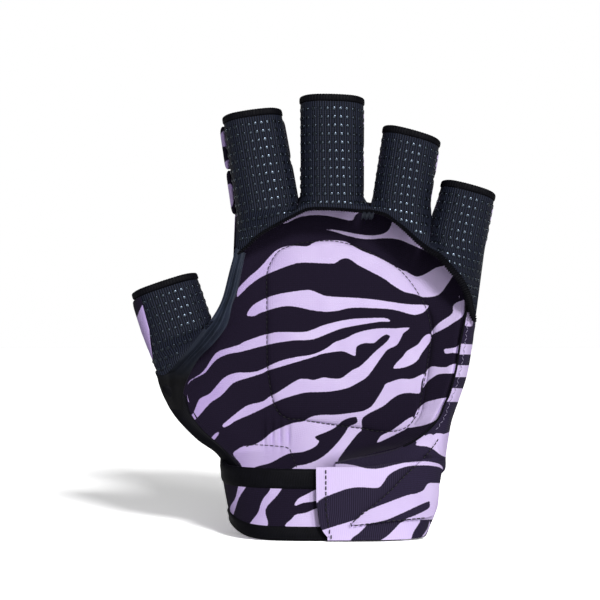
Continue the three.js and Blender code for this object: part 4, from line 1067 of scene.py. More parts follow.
LEAST_SIDE = 0.0101  # in metres
LEAST_SHARE = 0.31  # of the rectangle


def declare_sheet(obj):
    """Works out a piece's cloth width, length and area, and does nothing with them. The area is half of all its faces,
    rims included.
    So those sides aren't the cloth's own. No piece's own area is changed by the two area limits."""
    width, length = cloth_size(obj)
    area = sum(p.area for p in obj.data.polygons) / 2
    width = max(width, LEAST_SIDE, area / max(length, LEAST_SIDE))
    length = max(length, LEAST_SIDE)
    area = min(max(area, LEAST_SHARE * width * length), width * length)


def yoke_depth(x):
    """Depth of the knit yoke's face in the frame: flat over the fingers, falling back at both sides."""
    half = (PAD_RIGHT[0] - PAD_LEFT[0]) / 2
    middle = (PAD_RIGHT[0] + PAD_LEFT[0]) / 2 + TO_FRAME[0]
    share = np.clip(np.abs((x - middle) / half), 0, 1)
    return lerp(-12.5, -3.4, share ** 4) + TO_FRAME[1]


def yoke_line():
    """The yoke's free edge in the frame, and where its points are seen from side to side."""
    line = rounded(YOKE_EDGE, steps=8)
    depth = yoke_depth(seen(line, -13.0)[:, 0])
    # its low end is sewn to the side wall
    depth = depth + 7.0 * smooth(np.clip((112 - line[:, 1]) / 14, 0, 1))
    return seen(line, depth), line[:, 0]


YOKE_SPLITS = {"index": (-99, -6.0), "middle": (-6.0, 24.9), "ring": (24.9, 50.4), "little": (50.4, 99)}
# Where the knit fills the web between two fingers: which side, how far above the finger's base, how much
WEB_FILL = {"ring": (1, -3.0, 1.2), "little": (-1, 7.0, 0.8)}


def web_outer_depth(x):
    """Depth of the line where the thumb's knit meets the stretch web, and of the web's edge above the crotch."""
    return np.interp(x, [-70, -58, -43, -38, -33], [-2.0, -7.5, -9.0, -4.5, -4.5]) + TO_FRAME[1]


def root_line(finger):
    """The line where a stall's knit ends, from its left to its right, as a function of the share along it."""
    if finger == "thumb":
        line = seen(rounded(THUMB_ROOT, steps=8), -4.0)
        line[:, 1] = web_outer_depth(line[:, 0])
    else:
        line, at = yoke_line()
        low, high = YOKE_SPLITS[finger]
        keep = np.where((at >= low) & (at <= high))[0]
        line = line[max(keep[0] - 1, 0):keep[-1] + 2]
    return line_share(line)


def stall_angles(finger, from_deg, to_deg):
    f = FINGERS[finger]
    return even_angles((f["base"] + f["tip"]) / 4 - STALL_WALL, STALL_HALF_DEPTH - STALL_WALL, from_deg, to_deg)


def knit_surface(finger):
    """A stall's palm half and the knit below it down to its root line: s across from -1 to 1, h in mm above its
    base."""
    angles = stall_angles(finger, 180.6, 359.4)
    root = root_line(finger)

    def surface(s, h):
        angle = angles((s + 1) / 2)
        up = stall_point(finger, angle, np.maximum(h, 0), STALL_WALL)
        low = root((s + 1) / 2)
        drop = np.maximum(np.linalg.norm((up - low)[..., (0, 2)], axis=-1), 1.0)
        share = np.clip(-h / drop, 0, 1.0)
        down = lerp(up, low, share[..., None])
        down[..., 1] = lerp(up[..., 1], low[..., 1], smooth(share * 1.25))
        p = np.where((h < 0)[..., None], down, up)
        if finger in WEB_FILL:
            side, at, fill = WEB_FILL[finger]
            p[..., 0] += side * fill * np.clip(side * s, 0, 1) ** 6 * np.exp(-((h - at) / 6.5) ** 2)
        return p

    def depth_below(s):
        up = stall_point(finger, angles((s + 1) / 2), 0 * s, STALL_WALL)
        return np.linalg.norm((up - root((s + 1) / 2))[..., (0, 2)], axis=-1)
    return surface, depth_below


DOT_TOP_MARGIN = 3.2
DOT_FOOT_MARGIN = 1.9
DOT_LEAN = 0.055


def grip_dots(finger, surface, depth_below, sizes):
    """Rows of raised dots over a stall's knit, leaning with the knit's wales."""
    f = FINGERS[finger]
    half = STALL_HALF_DEPTH * 0.75 + (f["base"] + f["tip"]) / 4 * 0.95
    s, h = [], []
    for row in range(40):
        up = f["length"] - DOT_TOP_MARGIN - row * in_mm(sizes.dot_along)
        for column in range(-7, 8):
            across = (column + 0.5) * in_mm(sizes.dot_across) + (f["length"] * 0.5 - up) * DOT_LEAN
            share = across / half
            if abs(share) > 0.96:
                continue
            if up < DOT_FOOT_MARGIN - depth_below(np.array(share)) or (up < 0 and abs(share) > 0.9):
                continue
            s.append(share)
            h.append(up)
    p, along, _, normal = on_surface(surface, np.array(s), np.array(h), (0, -1, 0))
    radius = in_mm(sizes.dot_radius) * (1 + 0.06 * np.sin(np.arange(len(s)) * 2.4))
    return stamped(finger + "_grip_dots", dome(), p, along, normal, np.stack((radius, radius, 0.6 * radius), -1))


def swollen_pad(node, voxel, passes, push):
    """A foam piece from a copy of its solid: remeshed evenly, softened so that its edges round over, then fattened
    a little. Voxel and push are in mm."""
    obj = bpy.data.objects.new(node + "_foam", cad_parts[node].data.copy())
    obj.data.name = obj.name
    bpy.context.scene.collection.objects.link(obj)
    weld(obj, 0.02)
    apply_modifier(obj, "REMESH", mode="VOXEL", voxel_size=voxel * MM)
    apply_modifier(obj, "SMOOTH", factor=0.5, iterations=passes)
    apply_modifier(obj, "DISPLACE", strength=push * MM, mid_level=0.0)
    apply_modifier(obj, "SUBSURF", levels=1, render_levels=1)
    co = coordinates(obj)
    lay_map(obj.data, np.stack((co[:, 0] + 0.6 * co[:, 1], co[:, 2]), -1))
    shade(obj)
    return obj


def two_edges(inner, outer):
    """Point between two lines at shares across and along."""
    a, b = line_share(inner), line_share(outer)
    return lambda s, t: a(t) + (b(t) - a(t)) * s[..., None]


def on_palm(outline, lift=0.0):
    """An outline as seen, set on the lining's face."""
    line = seen(outline, 9.0)
    for _ in range(4):
        line = seen(outline, palm_depth(line[:, 0], line[:, 2]) - lift)
    return line


def set_depth(line, shares, depths):
    """Puts a line at depths behind the middle plane of the hand, given at shares of its points."""
    line[:, 1] = np.interp(np.linspace(0, 1, len(line)), shares, depths) + TO_FRAME[1]
    return line


def folded(turn, power_across, power_up):
    """A flattened fold of tape: how far out and how far up, from -1 to 1, at each turn round it."""
    c, v = np.cos(2 * math.pi * turn), np.sin(2 * math.pi * turn)
    return np.sign(c) * np.abs(c) ** power_across, np.sign(v) * np.abs(v) ** power_up


# ---- Pieces ----

class GLOVE_OT_stage(bpy.types.Operator):
    """Lay the white floor, the soft studio light and the camera"""
    bl_idname = "glove.stage"
    bl_label = "Stage"

    def execute(self, context):
        scene = context.scene
        scene.view_settings.view_transform = "Standard"
        deselect()
        bpy.ops.mesh.primitive_plane_add(size=FLOOR_SIZE)
        floor = context.object
        floor.name = "floor"
        white = bpy.data.materials.new("white_paper_floor")
        tree = cleared(white)
        paper = add(tree, "BsdfDiffuse", {"Color": linear("#f4f4f4"), "Roughness": 0.5})
        glow = add(tree, "Emission", {"Color": (1, 1, 1, 1), "Strength": 0.14})
        twice = add(tree, "AddShader", {0: paper.outputs[0], 1: paper.outputs[0]})
        both = add(tree, "AddShader", {0: twice.outputs[0], 1: glow.outputs[0]})
        self.for_camera(tree, "OutputMaterial", paper, both)
        floor.data.materials.append(white)
        scene.world = scene.world or bpy.data.worlds.new("studio")
        tree = cleared(scene.world)
        soft = add(tree, "Background", {"Color": (1, 1, 1, 1), "Strength": 0.2})
        wall = add(tree, "Background", {"Color": (1, 1, 1, 1), "Strength": 1.0})
        self.for_camera(tree, "OutputWorld", soft, wall)
        self.lamp("key", "SUN", 1.75, 14, 22, angle=math.radians(8))
        self.lamp("front_fill", "AREA", 2.2, 4, 4, size=0.5, size_y=0.5)
        self.lamp("tall_box", "AREA", 3.2, 28, 8, size=0.07, size_y=0.9, distance=1.0)
        self.lamp("left_fill", "AREA", 0.25, -60, 20, size=0.3, size_y=0.9)
        data = bpy.data.cameras.new("camera")
        data.sensor_width = SENSOR_WIDTH
        data.angle = 2 * math.atan(CAMERA_FIELD / 2 / -CAMERA_AT[1])
        data.clip_end = 50
        camera = bpy.data.objects.new("camera", data)
        scene.collection.objects.link(camera)
        camera.location = Vector(CAMERA_AT) * MM
        aim = Vector((CAMERA_AT[0], 0, CAMERA_AIM_Z)) * MM
        camera.rotation_euler = (aim - camera.location).to_track_quat("-Z", "Y").to_euler()
        scene.camera = camera
        return {"FINISHED"}

    def for_camera(self, tree, output, others, camera):
        """One shader for what the camera sees directly, and another for all other rays."""
        rays = add(tree, "LightPath").outputs["Is Camera Ray"]
        chosen = add(tree, "MixShader", {0: rays, 1: others.outputs[0], 2: camera.outputs[0]})
        add(tree, output, {"Surface": chosen.outputs[0]})

    def lamp(self, name, kind, energy, right, up, distance=1.2, **settings):
        """A lamp to the right of the camera's line and above it, in degrees, aimed at the glove."""
        data = bpy.data.lights.new(name, kind)
        data.energy = energy
        if kind == "AREA":
            data.shape = "RECTANGLE"
        for key, value in settings.items():
            setattr(data, key, value)
        lamp = bpy.data.objects.new(name, data)
        bpy.context.scene.collection.objects.link(lamp)
        r, u = math.radians(right), math.radians(up)
        way = Vector((math.sin(r) * math.cos(u), -math.cos(r) * math.cos(u), math.sin(u)))
        lamp.location = way * distance + Vector((0, 0, 0.1))
        lamp.rotation_euler = (-way).to_track_quat("-Z", "Y").to_euler()


class GLOVE_OT_knit_stalls(bpy.types.Operator):
    """Knit the five stalls with the yoke below them, and print their grip dots"""
    bl_idname = "glove.knit_stalls"
    bl_label = "Knit stalls"

    def execute(self, context):
        also = {"middle": "finger_root_yoke", "thumb": "thumb_root_palm"}
        below = 0.4  # share of the rows that lie below the stall's base
        for finger, f in FINGERS.items():
            surface, depth_below = knit_surface(finger)

            def laid(s, t):
                across = 2 * s - 1
                up = (t - below) / (1 - below) * (f["length"] - 0.2)
                return surface(across, np.where(t < below, -depth_below(across) * (1 - t / below), up))
            obj = lay_sheet(finger + "_stall_knit", laid, (64, 60), (0, -1, 0), thickness=STALL_WALL)
            obj.data.materials.append(ribbed_knit())
            dots = grip_dots(finger, surface, depth_below, context.scene.glove_sizes)
            lay_map(dots.data, np.zeros((len(dots.data.vertices), 2)))
            dots.data.materials.append(grip_silicone())
            join(obj, dots)
            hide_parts(finger + "_stall_palm", *([also[finger]] if finger in also else []))
            declare_sheet(obj)
            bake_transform(obj)
        return {"FINISHED"}


class GLOVE_OT_stall_rims(bpy.types.Operator):
    """Bind the open end of each stall with folded tape"""
    bl_idname = "glove.stall_rims"
    bl_label = "Stall rims"

    def execute(self, context):
        for finger, f in FINGERS.items():
            angles = stall_angles(finger, 0, 360)

            def ring(s, t):
                pucker = 0.2 * np.sin(2 * math.pi * s * 66) + 0.08 * np.sin(2 * math.pi * s * 7)
                out, up = folded(t, 0.6, 0.55)
                return stall_point(finger, angles(s), f["length"] + RIM_HEIGHT / 2 + (1.5 + 0.3 * pucker) * up,
                                   STALL_WALL / 2 + (1.0 + 0.4 * pucker) * out)
            obj = lay_sheet(finger + "_rim_tape", ring, (300, 18), (0, 0, 1), welded=True)
            recalculated(obj)
            finish_piece(obj, finger + "_stall", folded_tape(), [finger + "_rim_binding"], SHEET)
        return {"FINISHED"}


class GLOVE_OT_stall_backs(bpy.types.Operator):
    """Sew the printed backs of the stalls and set their foam blocks"""
    bl_idname = "glove.stall_backs"
    bl_label = "Stall backs and foam blocks"

    def execute(self, context):
        end = 0.3  # how far the cloth and the blocks stop short of the open end, and half the notch between blocks
        for finger, f in FINGERS.items():
            angles = stall_angles(finger, -3.0, 183.0)
            body = finger + "_stall"

            def back(s, t):
                tucked = 0.6 * smooth(np.clip(12.5 * np.abs(2 * s - 1) - 11.5, 0, 1))
                return stall_point(finger, angles(s), t * (f["length"] - end), STALL_WALL - tucked)
            obj = lay_sheet(finger + "_stall_back_cloth", back, (40, 40), (0, 1, 0), thickness=STALL_WALL)
            finish_piece(obj, body, printed_jersey(False), [finger + "_stall_back"], SHEET)
            thumb = finger == "thumb"
            blocks = stall_angles(finger, 38, 226 if thumb else f["reach"])
            notch = f["length"] / 2
            parts = {"base": (0.0, notch - end), "tip": (notch + end, f["length"] - end)}
            if thumb:
                parts = {"whole": (-9.5, f["length"] - end)}
            for part, (low, high) in parts.items():
                def block(s, t, w):
                    if thumb:
                        # the thumb's block runs round its side to the knit, least at the palm end
                        thick = BLOCK_THICKNESS * np.interp(s, [0, 0.48, 0.62, 0.73, 1], [1, 0.95, 0.5, 0.18, 0.13])
                        thick = thick * np.interp(t, [0, 0.5, 1], [0.3, 1, 1])
                        s = s * np.interp(t, [0, 0.15, 0.5, 1], [0.80, 0.90, 0.98, 1])
                    else:
                        thick = BLOCK_THICKNESS * np.interp(s, [0, 0.55, 0.9, 1], [1, 1, 0.5, 0.42])
                    return stall_point(finger, blocks(s), lerp(low, high, t), 1.5 + w * thick)
                pad = lay_pad("%s_guard_%s_foam" % (finger, part), block, (44, 18), seam=0.05 if thumb else 0.3)
                printed = finger in ("index", "thumb")
                nodes = ["thumb_guard_base", "thumb_guard_tip"] if thumb else [finger + "_guard_" + part]
                finish_piece(pad, body, printed_jersey(printed), nodes, GUARD_FILL,
                             SIDE_PRINT.values() if printed else None)
        return {"FINISHED"}


class GLOVE_OT_hand_pad(bpy.types.Operator):
    """Lay the hand pad: printed lining, foam core, outer cover and the foam guards on it"""
    bl_idname = "glove.hand_pad"
    bl_label = "Hand pad"

    def execute(self, context):
        def over(behind, lining=False):
            def surface(s, t):
                u = 0.45 * -np.cos(math.pi * s) + 0.55 * (2 * s - 1)
                v = lerp(-0.09 if lining else 0.0, 1.06, t)
                p = under_stalls(pad_point(u, v, behind, lining))
                # below its top the cuff's wall stands outside
                inside = np.clip((CUFF_HEIGHT - p[..., 2]) / 2, 0, 1)
                p[..., 0] = lerp(p[..., 0], np.clip(p[..., 0], -33.0, 49.0), inside)
                return p
            return surface
        lining = lay_sheet("palm_lining_cloth", over(0, True), (200, 200), (0, -1, 0), thickness=LINING_WALL,
                           welded=True)
        finish_piece(lining, "hand", printed_jersey(), ["palm_lining"], SHEET, PALM_PRINT.values())

        def filling(s, t, w):
            return over(2.7 + 6.3 * w)(0.04 + 0.92 * s, 0.08 + 0.91 * t)
        core = lay_pad("hand_pad_foam", filling, (50, 40))
        finish_piece(core, "hand", closed_cell_foam(), ["hand_pad_foam_core"], CORE_FILL)

        def wrapped(s, t):
            """Across the back and round both sides to the lining."""
            across = 2 * s - 1
            turned = smooth(np.clip(10 * np.abs(across) - 9, 0, 1))
            p = under_stalls(pad_point(np.clip(across / 0.93, -1, 1), t * 1.06, 10.7 - 8.8 * turned))
            p[..., 0] += np.sign(across) * 1.2 * np.clip(14 * np.abs(across) - 12, 0, 1)
            return p
        cover = lay_sheet("hand_back_cloth", wrapped, (120, 60), (0, 1, 0), welded=True)
        apply_modifier(cover, "SOLIDIFY", thickness=COVER_WALL * MM, offset=-1)
        shade(cover, 50)
        finish_piece(cover, "hand", printed_jersey(False), ["hand_pad_outer_cover"], SHEET)
        for node in ("knuckle_guard_index_middle", "knuckle_guard_ring_little", "hand_back_guard_upper",
                     "hand_back_guard_lower", "wrist_guard"):
            pad = swollen_pad(node, 1.6, 7, 0.3)
            finish_piece(pad, "hand", printed_jersey(False), [node], GUARD_FILL)
        finish_piece(swollen_pad("thumb_root_guard", 1.0, 5, 0.25), "hand", printed_jersey(),
                     ["thumb_root_guard"], GUARD_FILL, SIDE_PRINT.values())
        top = root_line("little")(np.array(1.0))[2] - 2.4

        def side(s, t, w):
            z = lerp(CUFF_HEIGHT + 0.4, top, t)
            v = (z - PAD_BOTTOM) / (PAD_RIGHT[1] - PAD_BOTTOM)
            turn = np.radians(lerp(10, 60, s))
            out = 13.2 + 5.4 * w
            return np.stack((pad_sides(v)[1] - 10.8 + out * np.cos(turn), 5.0 + edge_depth(v) + out * np.sin(turn), z),
                            -1) + TO_FRAME
        pad = lay_pad("side_guard_foam", side, (36, 60), facing=(1, 0, 0))
        finish_piece(pad, "hand", printed_jersey(), ["little_finger_side_guard"], GUARD_FILL,
                     SIDE_PRINT.values())
        return {"FINISHED"}


class GLOVE_OT_side_wall(bpy.types.Operator):
    """Sew the side cloth from the lining's little-finger seam down to the strap, with its piping, zigzag and roll"""
    bl_idname = "glove.side_wall"
    bl_label = "Side wall"

    def execute(self, context):
        inner = set_depth(seen(rounded(RIGHT_SEAM, steps=8), -4.0), [0, 0.3, 0.55, 0.7, 1],
                          [3.0, 1.5, -2.0, -6.0, -16.0])
        outer = rounded(WALL_OUTER, steps=8)
        share = np.linspace(0, 1, len(outer))
        depth = np.interp(share, [0, 0.35, 0.6, 0.7], [9.0, 7.0, 3.0, -4.0]) + TO_FRAME[1]
        front = on_cuff(outer, 0.0)[:, 1] - np.interp(share, [0.69, 0.77, 0.83, 0.9], [5.2, 4.9, 3.6, 2.4])
        outer = seen(outer, np.where(share < 0.68, depth, np.minimum(depth, front)))
        between = two_edges(inner, outer)
        sewn = line_share(on_palm(rounded(RIGHT_SEAM, steps=8), -0.3))
        rising = 0.12  # share of the cloth that comes out from the lining

        def wall(s, t):
            """Out from the lining along the line of sight, then over the side."""
            rise = np.clip(s / rising, 0, 1)
            s = np.clip((s - rising) / (1 - rising), 0, 1)
            p = between(s, t)
            p[..., 1] -= np.sin(math.pi * s) * np.interp(t, [0, 0.5, 0.75, 1], [2.5, 2.5, 3.0, 1.0])
            return lerp(sewn(t), p, rise[..., None])
        obj = lay_sheet("side_wall_cloth", wall, (50, 220), (0, -1, 0), thickness=SIDE_WALL)
        # the lit copy of the jersey: its dark stripes carry painted light
        finish_piece(obj, "hand", printed_jersey(True, True), (), SHEET,
                     [*SIDE_PRINT.values(), STRAP_PRINT["shoulder"], STRAP_PRINT["top"]])
        cord = lay_tube("side_piping", inner[:-32] - (0.2, 0.5, 0), 0.45, 0.5, (260, 10), 0.08)
        finish_piece(cord, "hand", folded_tape())

        def seam(name, outline, spacing, lift, lean, size, material=None):
            line = rounded(outline, steps=6)
            flat, way = along_line(np.stack((line[:, 0], 0 * line[:, 0], line[:, 1]), -1), spacing)
            side = np.where(np.arange(len(flat)) % 2 == 0, lean, -lean)[:, None]
            sew(name, laid_on(obj, flat[:, (0, 2)], lift), way + side * (1.0, 0.0, 0.0), size, material,
                normal=(0.3, -1.0, 0.0))
        seam("side_zigzag", ZIGZAG, 1.7, 0.5, 0.6, (1.5, 0.13, 0.13), sewing_thread("pale", "#9d93b4", 0.55))
        seam("side_seam_stitches", SEAM_HIGH, 1.9, 1.4, 0.0, (1.4, 0.24, 0.24))
        lines = two_edges(*(on_palm(rounded(line, steps=8)) for line in (ROLL_INNER, ROLL_OUTER)))

        def roll(s, t, w):
            p = lines(s, t)
            p[..., 1] = palm_depth(p[..., 0], p[..., 2]) + 0.3 - 2.9 * w * smooth(np.clip(3.2 * t, 0, 1))
            return p
        pad = lay_pad("palm_side_roll_foam", roll, (60, 90), facing=(0, -1, 0), squareness=3.0, seam=0.0)
        finish_piece(pad, "hand", printed_jersey(), ["palm_side_roll"], ROLL_FILL, PALM_PRINT.values())
        return {"FINISHED"}


class GLOVE_OT_quilted_panel(bpy.types.Operator):
    """Raise the quilted panel on the lining and stitch round it"""
    bl_idname = "glove.quilted_panel"
    bl_label = "Quilted panel"

    def execute(self, context):
        sizes = context.scene.glove_sizes
        rise = in_mm(sizes.panel_rise)
        edge = on_palm(rounded(PANEL_LINE, closed=True, steps=10))
        outline = line_share(np.vstack((edge, edge[:1])))
        centre = (edge[:, (0, 2)].min(0) + edge[:, (0, 2)].max(0)) / 2
        face, lift_under = 0.88, -0.1  # share of the cloth on the front, and how far its back lies in the lining

        def front(s, t):
            top = t < face
            reach = np.where(top, t / face, (1 - t) / 0.12)
            place = centre + (outline(s)[..., (0, 2)] - centre) * reach[..., None]
            full = np.clip(1 - reach ** 16, 0, 1) ** 0.5 * (0.8 + 0.2 * (1 - reach ** 2))
            lift = np.where(top, lift_under + rise * full, lift_under)
            return np.stack((place[:, 0], palm_depth(place[:, 0], place[:, 1]) - lift, place[:, 1]), -1)
        obj = lay_sheet("quilted_panel_pad", front, (360, 100), (0, -1, 0), welded=True)
        recalculated(obj)
        shade(obj, 60)
        lay_map(obj.data, coordinates(obj)[:, (0, 2)])
        finish_piece(obj, "hand", printed_jersey(), ["quilted_palm_panel"], PANEL_FILL,
                     PALM_PRINT.values())
        size = (in_mm(sizes.stitch_length), 0.17, 0.17)
        sew("panel_stitches", *along_line(edge + (0, -0.35, 0), 2.2, closed=True), size)
        sew("lining_seam_stitches", *along_line(on_palm(rounded(SEAM_LOW, steps=6), 0.1), 2.3), size)
        return {"FINISHED"}


class GLOVE_OT_yoke_edge(bpy.types.Operator):
    """Overlock the knit's free edge and close the web between middle and ring finger with a bar tack"""
    bl_idname = "glove.yoke_edge"
    bl_label = "Yoke edge"

    def execute(self, context):
        def wide(s):
            return np.interp(s, [0, 0.55, 0.8, 1], [0.75, 0.75, 1.5, 1.3])
        obj = lay_tube("yoke_overlock", yoke_line()[0] - (0, 0.2, 0.3), wide, 0.95, (620, 12), 0.22)
        finish_piece(obj, "hand", folded_tape(), ["yoke_overlock_edge"])
        x, _, z = seen(np.array([23.9, 141.6]), -14.0)
        places = np.array([(x + across, yoke_depth(x) - 0.8, z + 0.4 * math.sin(across * 3))
                           for across in np.linspace(-2.3, 2.3, 9)])
        sew("web_tack_threads", places, (0.15, 0.0, 1.0), (3.2, 0.3, 0.4), sewing_thread("navy", "#141b2b", 0.6),
            nodes=["web_bar_tack"])
        return {"FINISHED"}


class GLOVE_OT_thumb_side(bpy.types.Operator):
    """Fold the stretch web between thumb and palm and bind the lining's lower edge"""
    bl_idname = "glove.thumb_side"
    bl_label = "Thumb side"

    def execute(self, context):
        inner = set_depth(on_palm(rounded(WEB_INNER, steps=6), 0.5), [0, 0.2, 0.5, 0.8, 1],
                          [-5.5, -5.5, -6.5, -4.0, -2.6])
        outer = seen(rounded(WEB_OUTER, steps=6), -3.0)
        outer[:, 1] = web_outer_depth(outer[:, 0])
        root = 48  # from this point on the web's edge runs back from the thumb's root to the lining
        outer[root:, 1] = np.linspace(outer[root, 1], TO_FRAME[1] - 2.0, len(outer) - root)
        between = two_edges(inner, outer)

        def web(s, t):
            p = between(s, t)
            along = np.sin(math.pi * np.clip(t, 0, 1)) ** 0.5
            fold = 1.5 * np.exp(-((s - 0.34) / 0.14) ** 2) - 0.9 * np.exp(-((s - 0.58) / 0.09) ** 2)
            deep = np.interp(t, [0, 0.5, 0.75, 1], [0.8, 1.2, 0.3, 0])
            p[..., 1] -= (fold + 0.7 * np.exp(-((s - 0.80) / 0.15) ** 2)) * along * deep
            return p
        obj = lay_sheet("thumb_web_cloth", web, (50, 140), (0, -1, 0), thickness=SIDE_WALL)
        finish_piece(obj, "hand", web_lycra(), ["thumb_web_strip", "thumb_web_gusset"], SHEET)
        lines = two_edges(
            set_depth(on_palm(rounded(BAND_INNER, steps=8), 0.4), [0, 0.25, 0.6, 1], [-2.8, -1.4, -1.4, -3.6]),
            set_depth(seen(rounded(BAND_OUTER, steps=8), -2.0), [0, 0.5, 1], [-1.5, -0.5, 0.5]))

        def tape(s, t):
            p = lines(s, t)
            p[..., 1] -= 1.3 * np.sqrt(np.clip(1 - (2 * s - 1) ** 2, 0, 1))
            return p
        band = lay_sheet("lining_edge_tape", tape, (16, 90), (0, -1, 0), thickness=SIDE_WALL)
        finish_piece(band, "hand", folded_tape(), ["lining_edge_binding"], SHEET)
        return {"FINISHED"}


def cuff_angles(from_deg, to_deg, half_width=CUFF_HALF_TOP):
    return even_angles(half_width, CUFF_HALF_DEPTH, from_deg, to_deg)


class GLOVE_OT_cuff(bpy.types.Operator):
    """Build the cuff: printed band, bindings, elastic gusset and loop patch"""
    bl_idname = "glove.cuff"
    bl_label = "Cuff"

    def execute(self, context):
        angles = cuff_angles(12, 312, (CUFF_HALF_TOP + CUFF_HALF_BOTTOM) / 2)

        def printed(s, t):
            angle = angles(s)
            low, high = BAND_REACH
            return cuff_point(angle, lerp(low + self.rise(angle), high - self.dip(angle), t), 0)
        band = lay_sheet("cuff_band_cloth", printed, (260, 40), (-1, -0.2, 0))
        outwards(band)
        apply_modifier(band, "SOLIDIFY", thickness=CUFF_WALL * MM, offset=-1)
        shade(band, 50)
        finish_piece(band, "hand", printed_jersey(), ["cuff_band"], SHEET, CUFF_PRINT.values(),
                     PALM_PRINT.values())
        for edge, (low, high) in TAPE_REACH.items():
            tape = lay_sheet("cuff_%s_tape" % edge, self.tape(angles, low, high), (260, 24), (0, 0, 1), welded=True)
            recalculated(tape)
            finish_piece(tape, "hand", folded_tape(), ["cuff_%s_binding" % edge], SHEET)
        side, loop = cuff_angles(-21, 11), cuff_angles(269, 296)
        gusset = lay_sheet("cuff_gusset_elastic", lambda s, t: cuff_point(side(s), CUFF_HEIGHT * t, 0), (30, 30),
                           (1, 0, 0), thickness=CUFF_WALL)
        finish_piece(gusset, "hand", elastic_webbing(), ["cuff_side_gusset"], SHEET, [])
        patch = lay_sheet("cuff_loop_tape", lambda s, t: cuff_point(loop(s), lerp(*LOOP_REACH, t), LOOP_OUT), (30, 20),
                          (0, -1, 0), thickness=LOOP_WALL)
        finish_piece(patch, "hand", hook_tape(), ["cuff_loop_patch"], SHEET)
        return {"FINISHED"}

    def tape(self, angles, low, high):
        """A flattened fold of tape round the cuff, its stitch line drawn in."""
        def surface(s, t):
            out, up = folded(t, 0.7, 0.45)
            angle = angles(s)
            z = (low + high) / 2 + (high - low) / 2 * up
            line = 0.35 * np.exp(-((z - lerp(low, high, 0.45)) / 0.5) ** 2)
            z = z + (self.rise(angle) if low == 0 else -self.dip(angle))
            return cuff_point(angle, z, -0.85 + (1.5 - line) * out)
        return surface

    def rise(self, angle):
        """How far the hem rises at both sides."""
        x, _ = oval(CUFF_HALF_BOTTOM, CUFF_HALF_DEPTH, 0, 0, angle, 0)
        return 6.2 * np.exp(-(x + CUFF_HALF_BOTTOM) / 4.5) + 2.4 * np.exp((x - CUFF_HALF_BOTTOM) / 1.6)

    def dip(self, angle):
        """The cuff's top sags at the front."""
        front = table_at([(-1, 0), (-0.12, 0), (0, 3.0), (0.3, 4.2), (1, 5.2)], -np.sin(angle))
        return front * np.clip(1.6 - 1.6 * np.cos(angle), 0, 1)


def outwards(obj):
    """Turns a curved wall's faces away from the middle of the cuff, where its own sum of faces can't tell."""
    faces = obj.data.polygons[:len(obj.data.polygons) // 2]
    middle = Vector((CUFF_X, 0, CUFF_HEIGHT / 2)) * MM
    if sum((p.center - middle).normalized().dot(p.normal) * p.area for p in faces) < 0:
        obj.data.flip_normals()


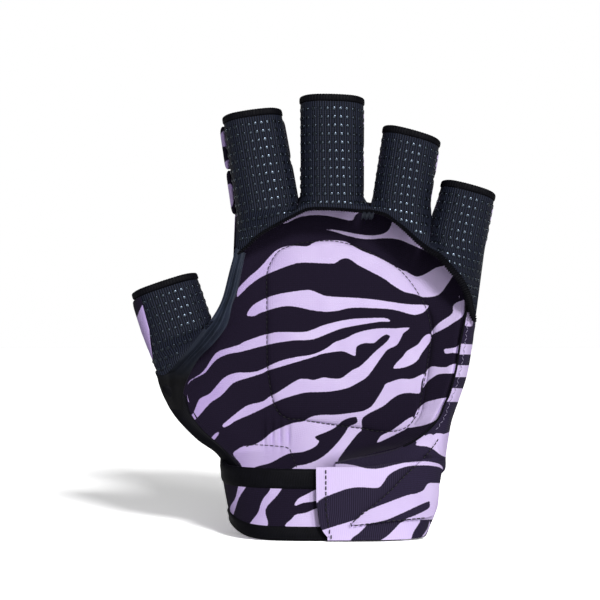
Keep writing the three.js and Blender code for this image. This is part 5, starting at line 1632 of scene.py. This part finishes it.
class GLOVE_OT_strap(bpy.types.Operator):
    """Build the wrist strap: ribbed elastic, folded end, printed side panel and hook patch"""
    bl_idname = "glove.strap"
    bl_label = "Wrist strap"

    def execute(self, context):
        length = in_mm(context.scene.glove_sizes.stitch_length)
        prints = STRAP_PRINT.values()
        along, fold, hook = cuff_angles(269.4, 344), cuff_angles(265.8, 269.6), cuff_angles(270, 296)

        def ribbon(s, t):
            top = 32.0 + 1.6 * smooth(np.clip((s - 0.3) / 0.3, 0, 1))
            return cuff_point(along(s), lerp(0.9 + 2.4 * s ** 40, top, t), STRAP_OUT)
        band = lay_sheet("wrist_strap_elastic", ribbon, (150, 60), (0.4, -1, 0), thickness=STRAP_WALL)
        finish_piece(band, PEELING, elastic_webbing(), ["wrist_strap"], SHEET, prints)

        def tab_fold(s, t):
            out, up = folded(t, 0.6, 0.25)
            z = 16.85 + 15.15 * up
            corner = 0.09 * np.clip(1 - z / 14, 0, 1) ** 2 * (1 - s)
            return cuff_point(fold(s) + corner, z, 4.2 + 1.3 * out)
        tab = lay_sheet("strap_end_elastic", tab_fold, (24, 60), (0, -1, 0), welded=True)
        close_ends(tab)
        finish_piece(tab, "strap", elastic_webbing(), ["strap_folded_end"], SHEET, prints)
        low, high = line_share(rounded(FLAP, steps=8)), line_share(rounded(DIAGONAL, steps=8))

        def tongue(s, t):
            p = on_cuff(lerp(low(s), high(s), t[..., None]), STRAP_PANEL_OUT)
            p[..., 2] = np.minimum(p[..., 2], 33.9)
            return p
        panel = lay_sheet("strap_side_cloth", tongue, (150, 60), (0.6, -1, 0), thickness=SIDE_WALL, welded=True)
        # the lit copy of the jersey: its dark stripes carry painted light
        finish_piece(panel, PEELING, printed_jersey(True, True), ["strap_side_panel"], SHEET, prints)
        patch = lay_sheet("strap_hook_tape", lambda s, t: cuff_point(hook(s), lerp(*HOOK_REACH, t), HOOK_OUT), (30, 20),
                          (0, -1, 0), thickness=HOOK_WALL)
        finish_piece(patch, "strap", hook_tape(), ["strap_hook_patch"], SHEET)
        edge = on_cuff(rounded(FLAP[-2::-1] + DIAGONAL[1:-2], steps=6), STRAP_PANEL_OUT + 0.65)
        sew("strap_side_stitches", *along_line(edge, 2.3), (length, 0.24, 0.24), body=PEELING,
            normal=(0.2, -1.0, 0.0))
        z = np.arange(2.4, 31.5, 2.3)
        places = cuff_point(np.radians(269.0 + 1.3 * np.clip(1 - z / 14, 0, 1)), z, 5.95)
        sew("strap_end_stitches", places, (0.0, 0.0, 1.0), (length, 0.26, 0.26), body="strap")
        return {"FINISHED"}


PIECES = (GLOVE_OT_stage, GLOVE_OT_knit_stalls, GLOVE_OT_stall_rims, GLOVE_OT_stall_backs, GLOVE_OT_hand_pad,
          GLOVE_OT_side_wall, GLOVE_OT_quilted_panel, GLOVE_OT_yoke_edge, GLOVE_OT_thumb_side, GLOVE_OT_cuff,
          GLOVE_OT_strap)


class GLOVE_PT_panel(bpy.types.Panel):
    bl_label = "Field hockey glove"
    bl_idname = "GLOVE_PT_panel"
    bl_space_type = "VIEW_3D"
    bl_region_type = "UI"
    bl_category = "Glove"

    def draw(self, context):
        for piece in PIECES:
            self.layout.operator(piece.bl_idname)
        for group in (context.scene.glove_sizes, context.scene.glove_colours):
            for key in group.bl_rna.properties.keys():
                if key not in ("rna_type", "name"):
                    self.layout.prop(group, key)


CLASSES = (GloveColours, GloveSizes) + PIECES + (GLOVE_PT_panel,)


def register():
    for cls in CLASSES:
        bpy.utils.register_class(cls)
    bpy.types.Scene.glove_colours = bpy.props.PointerProperty(type=GloveColours)
    bpy.types.Scene.glove_sizes = bpy.props.PointerProperty(type=GloveSizes)


def unregister():
    del bpy.types.Scene.glove_sizes
    del bpy.types.Scene.glove_colours
    for cls in reversed(CLASSES):
        bpy.utils.unregister_class(cls)


def main():
    register()
    for piece in PIECES:
        getattr(bpy.ops.glove, piece.bl_idname.split(".")[1])()


if __name__ == "__main__":
    main()
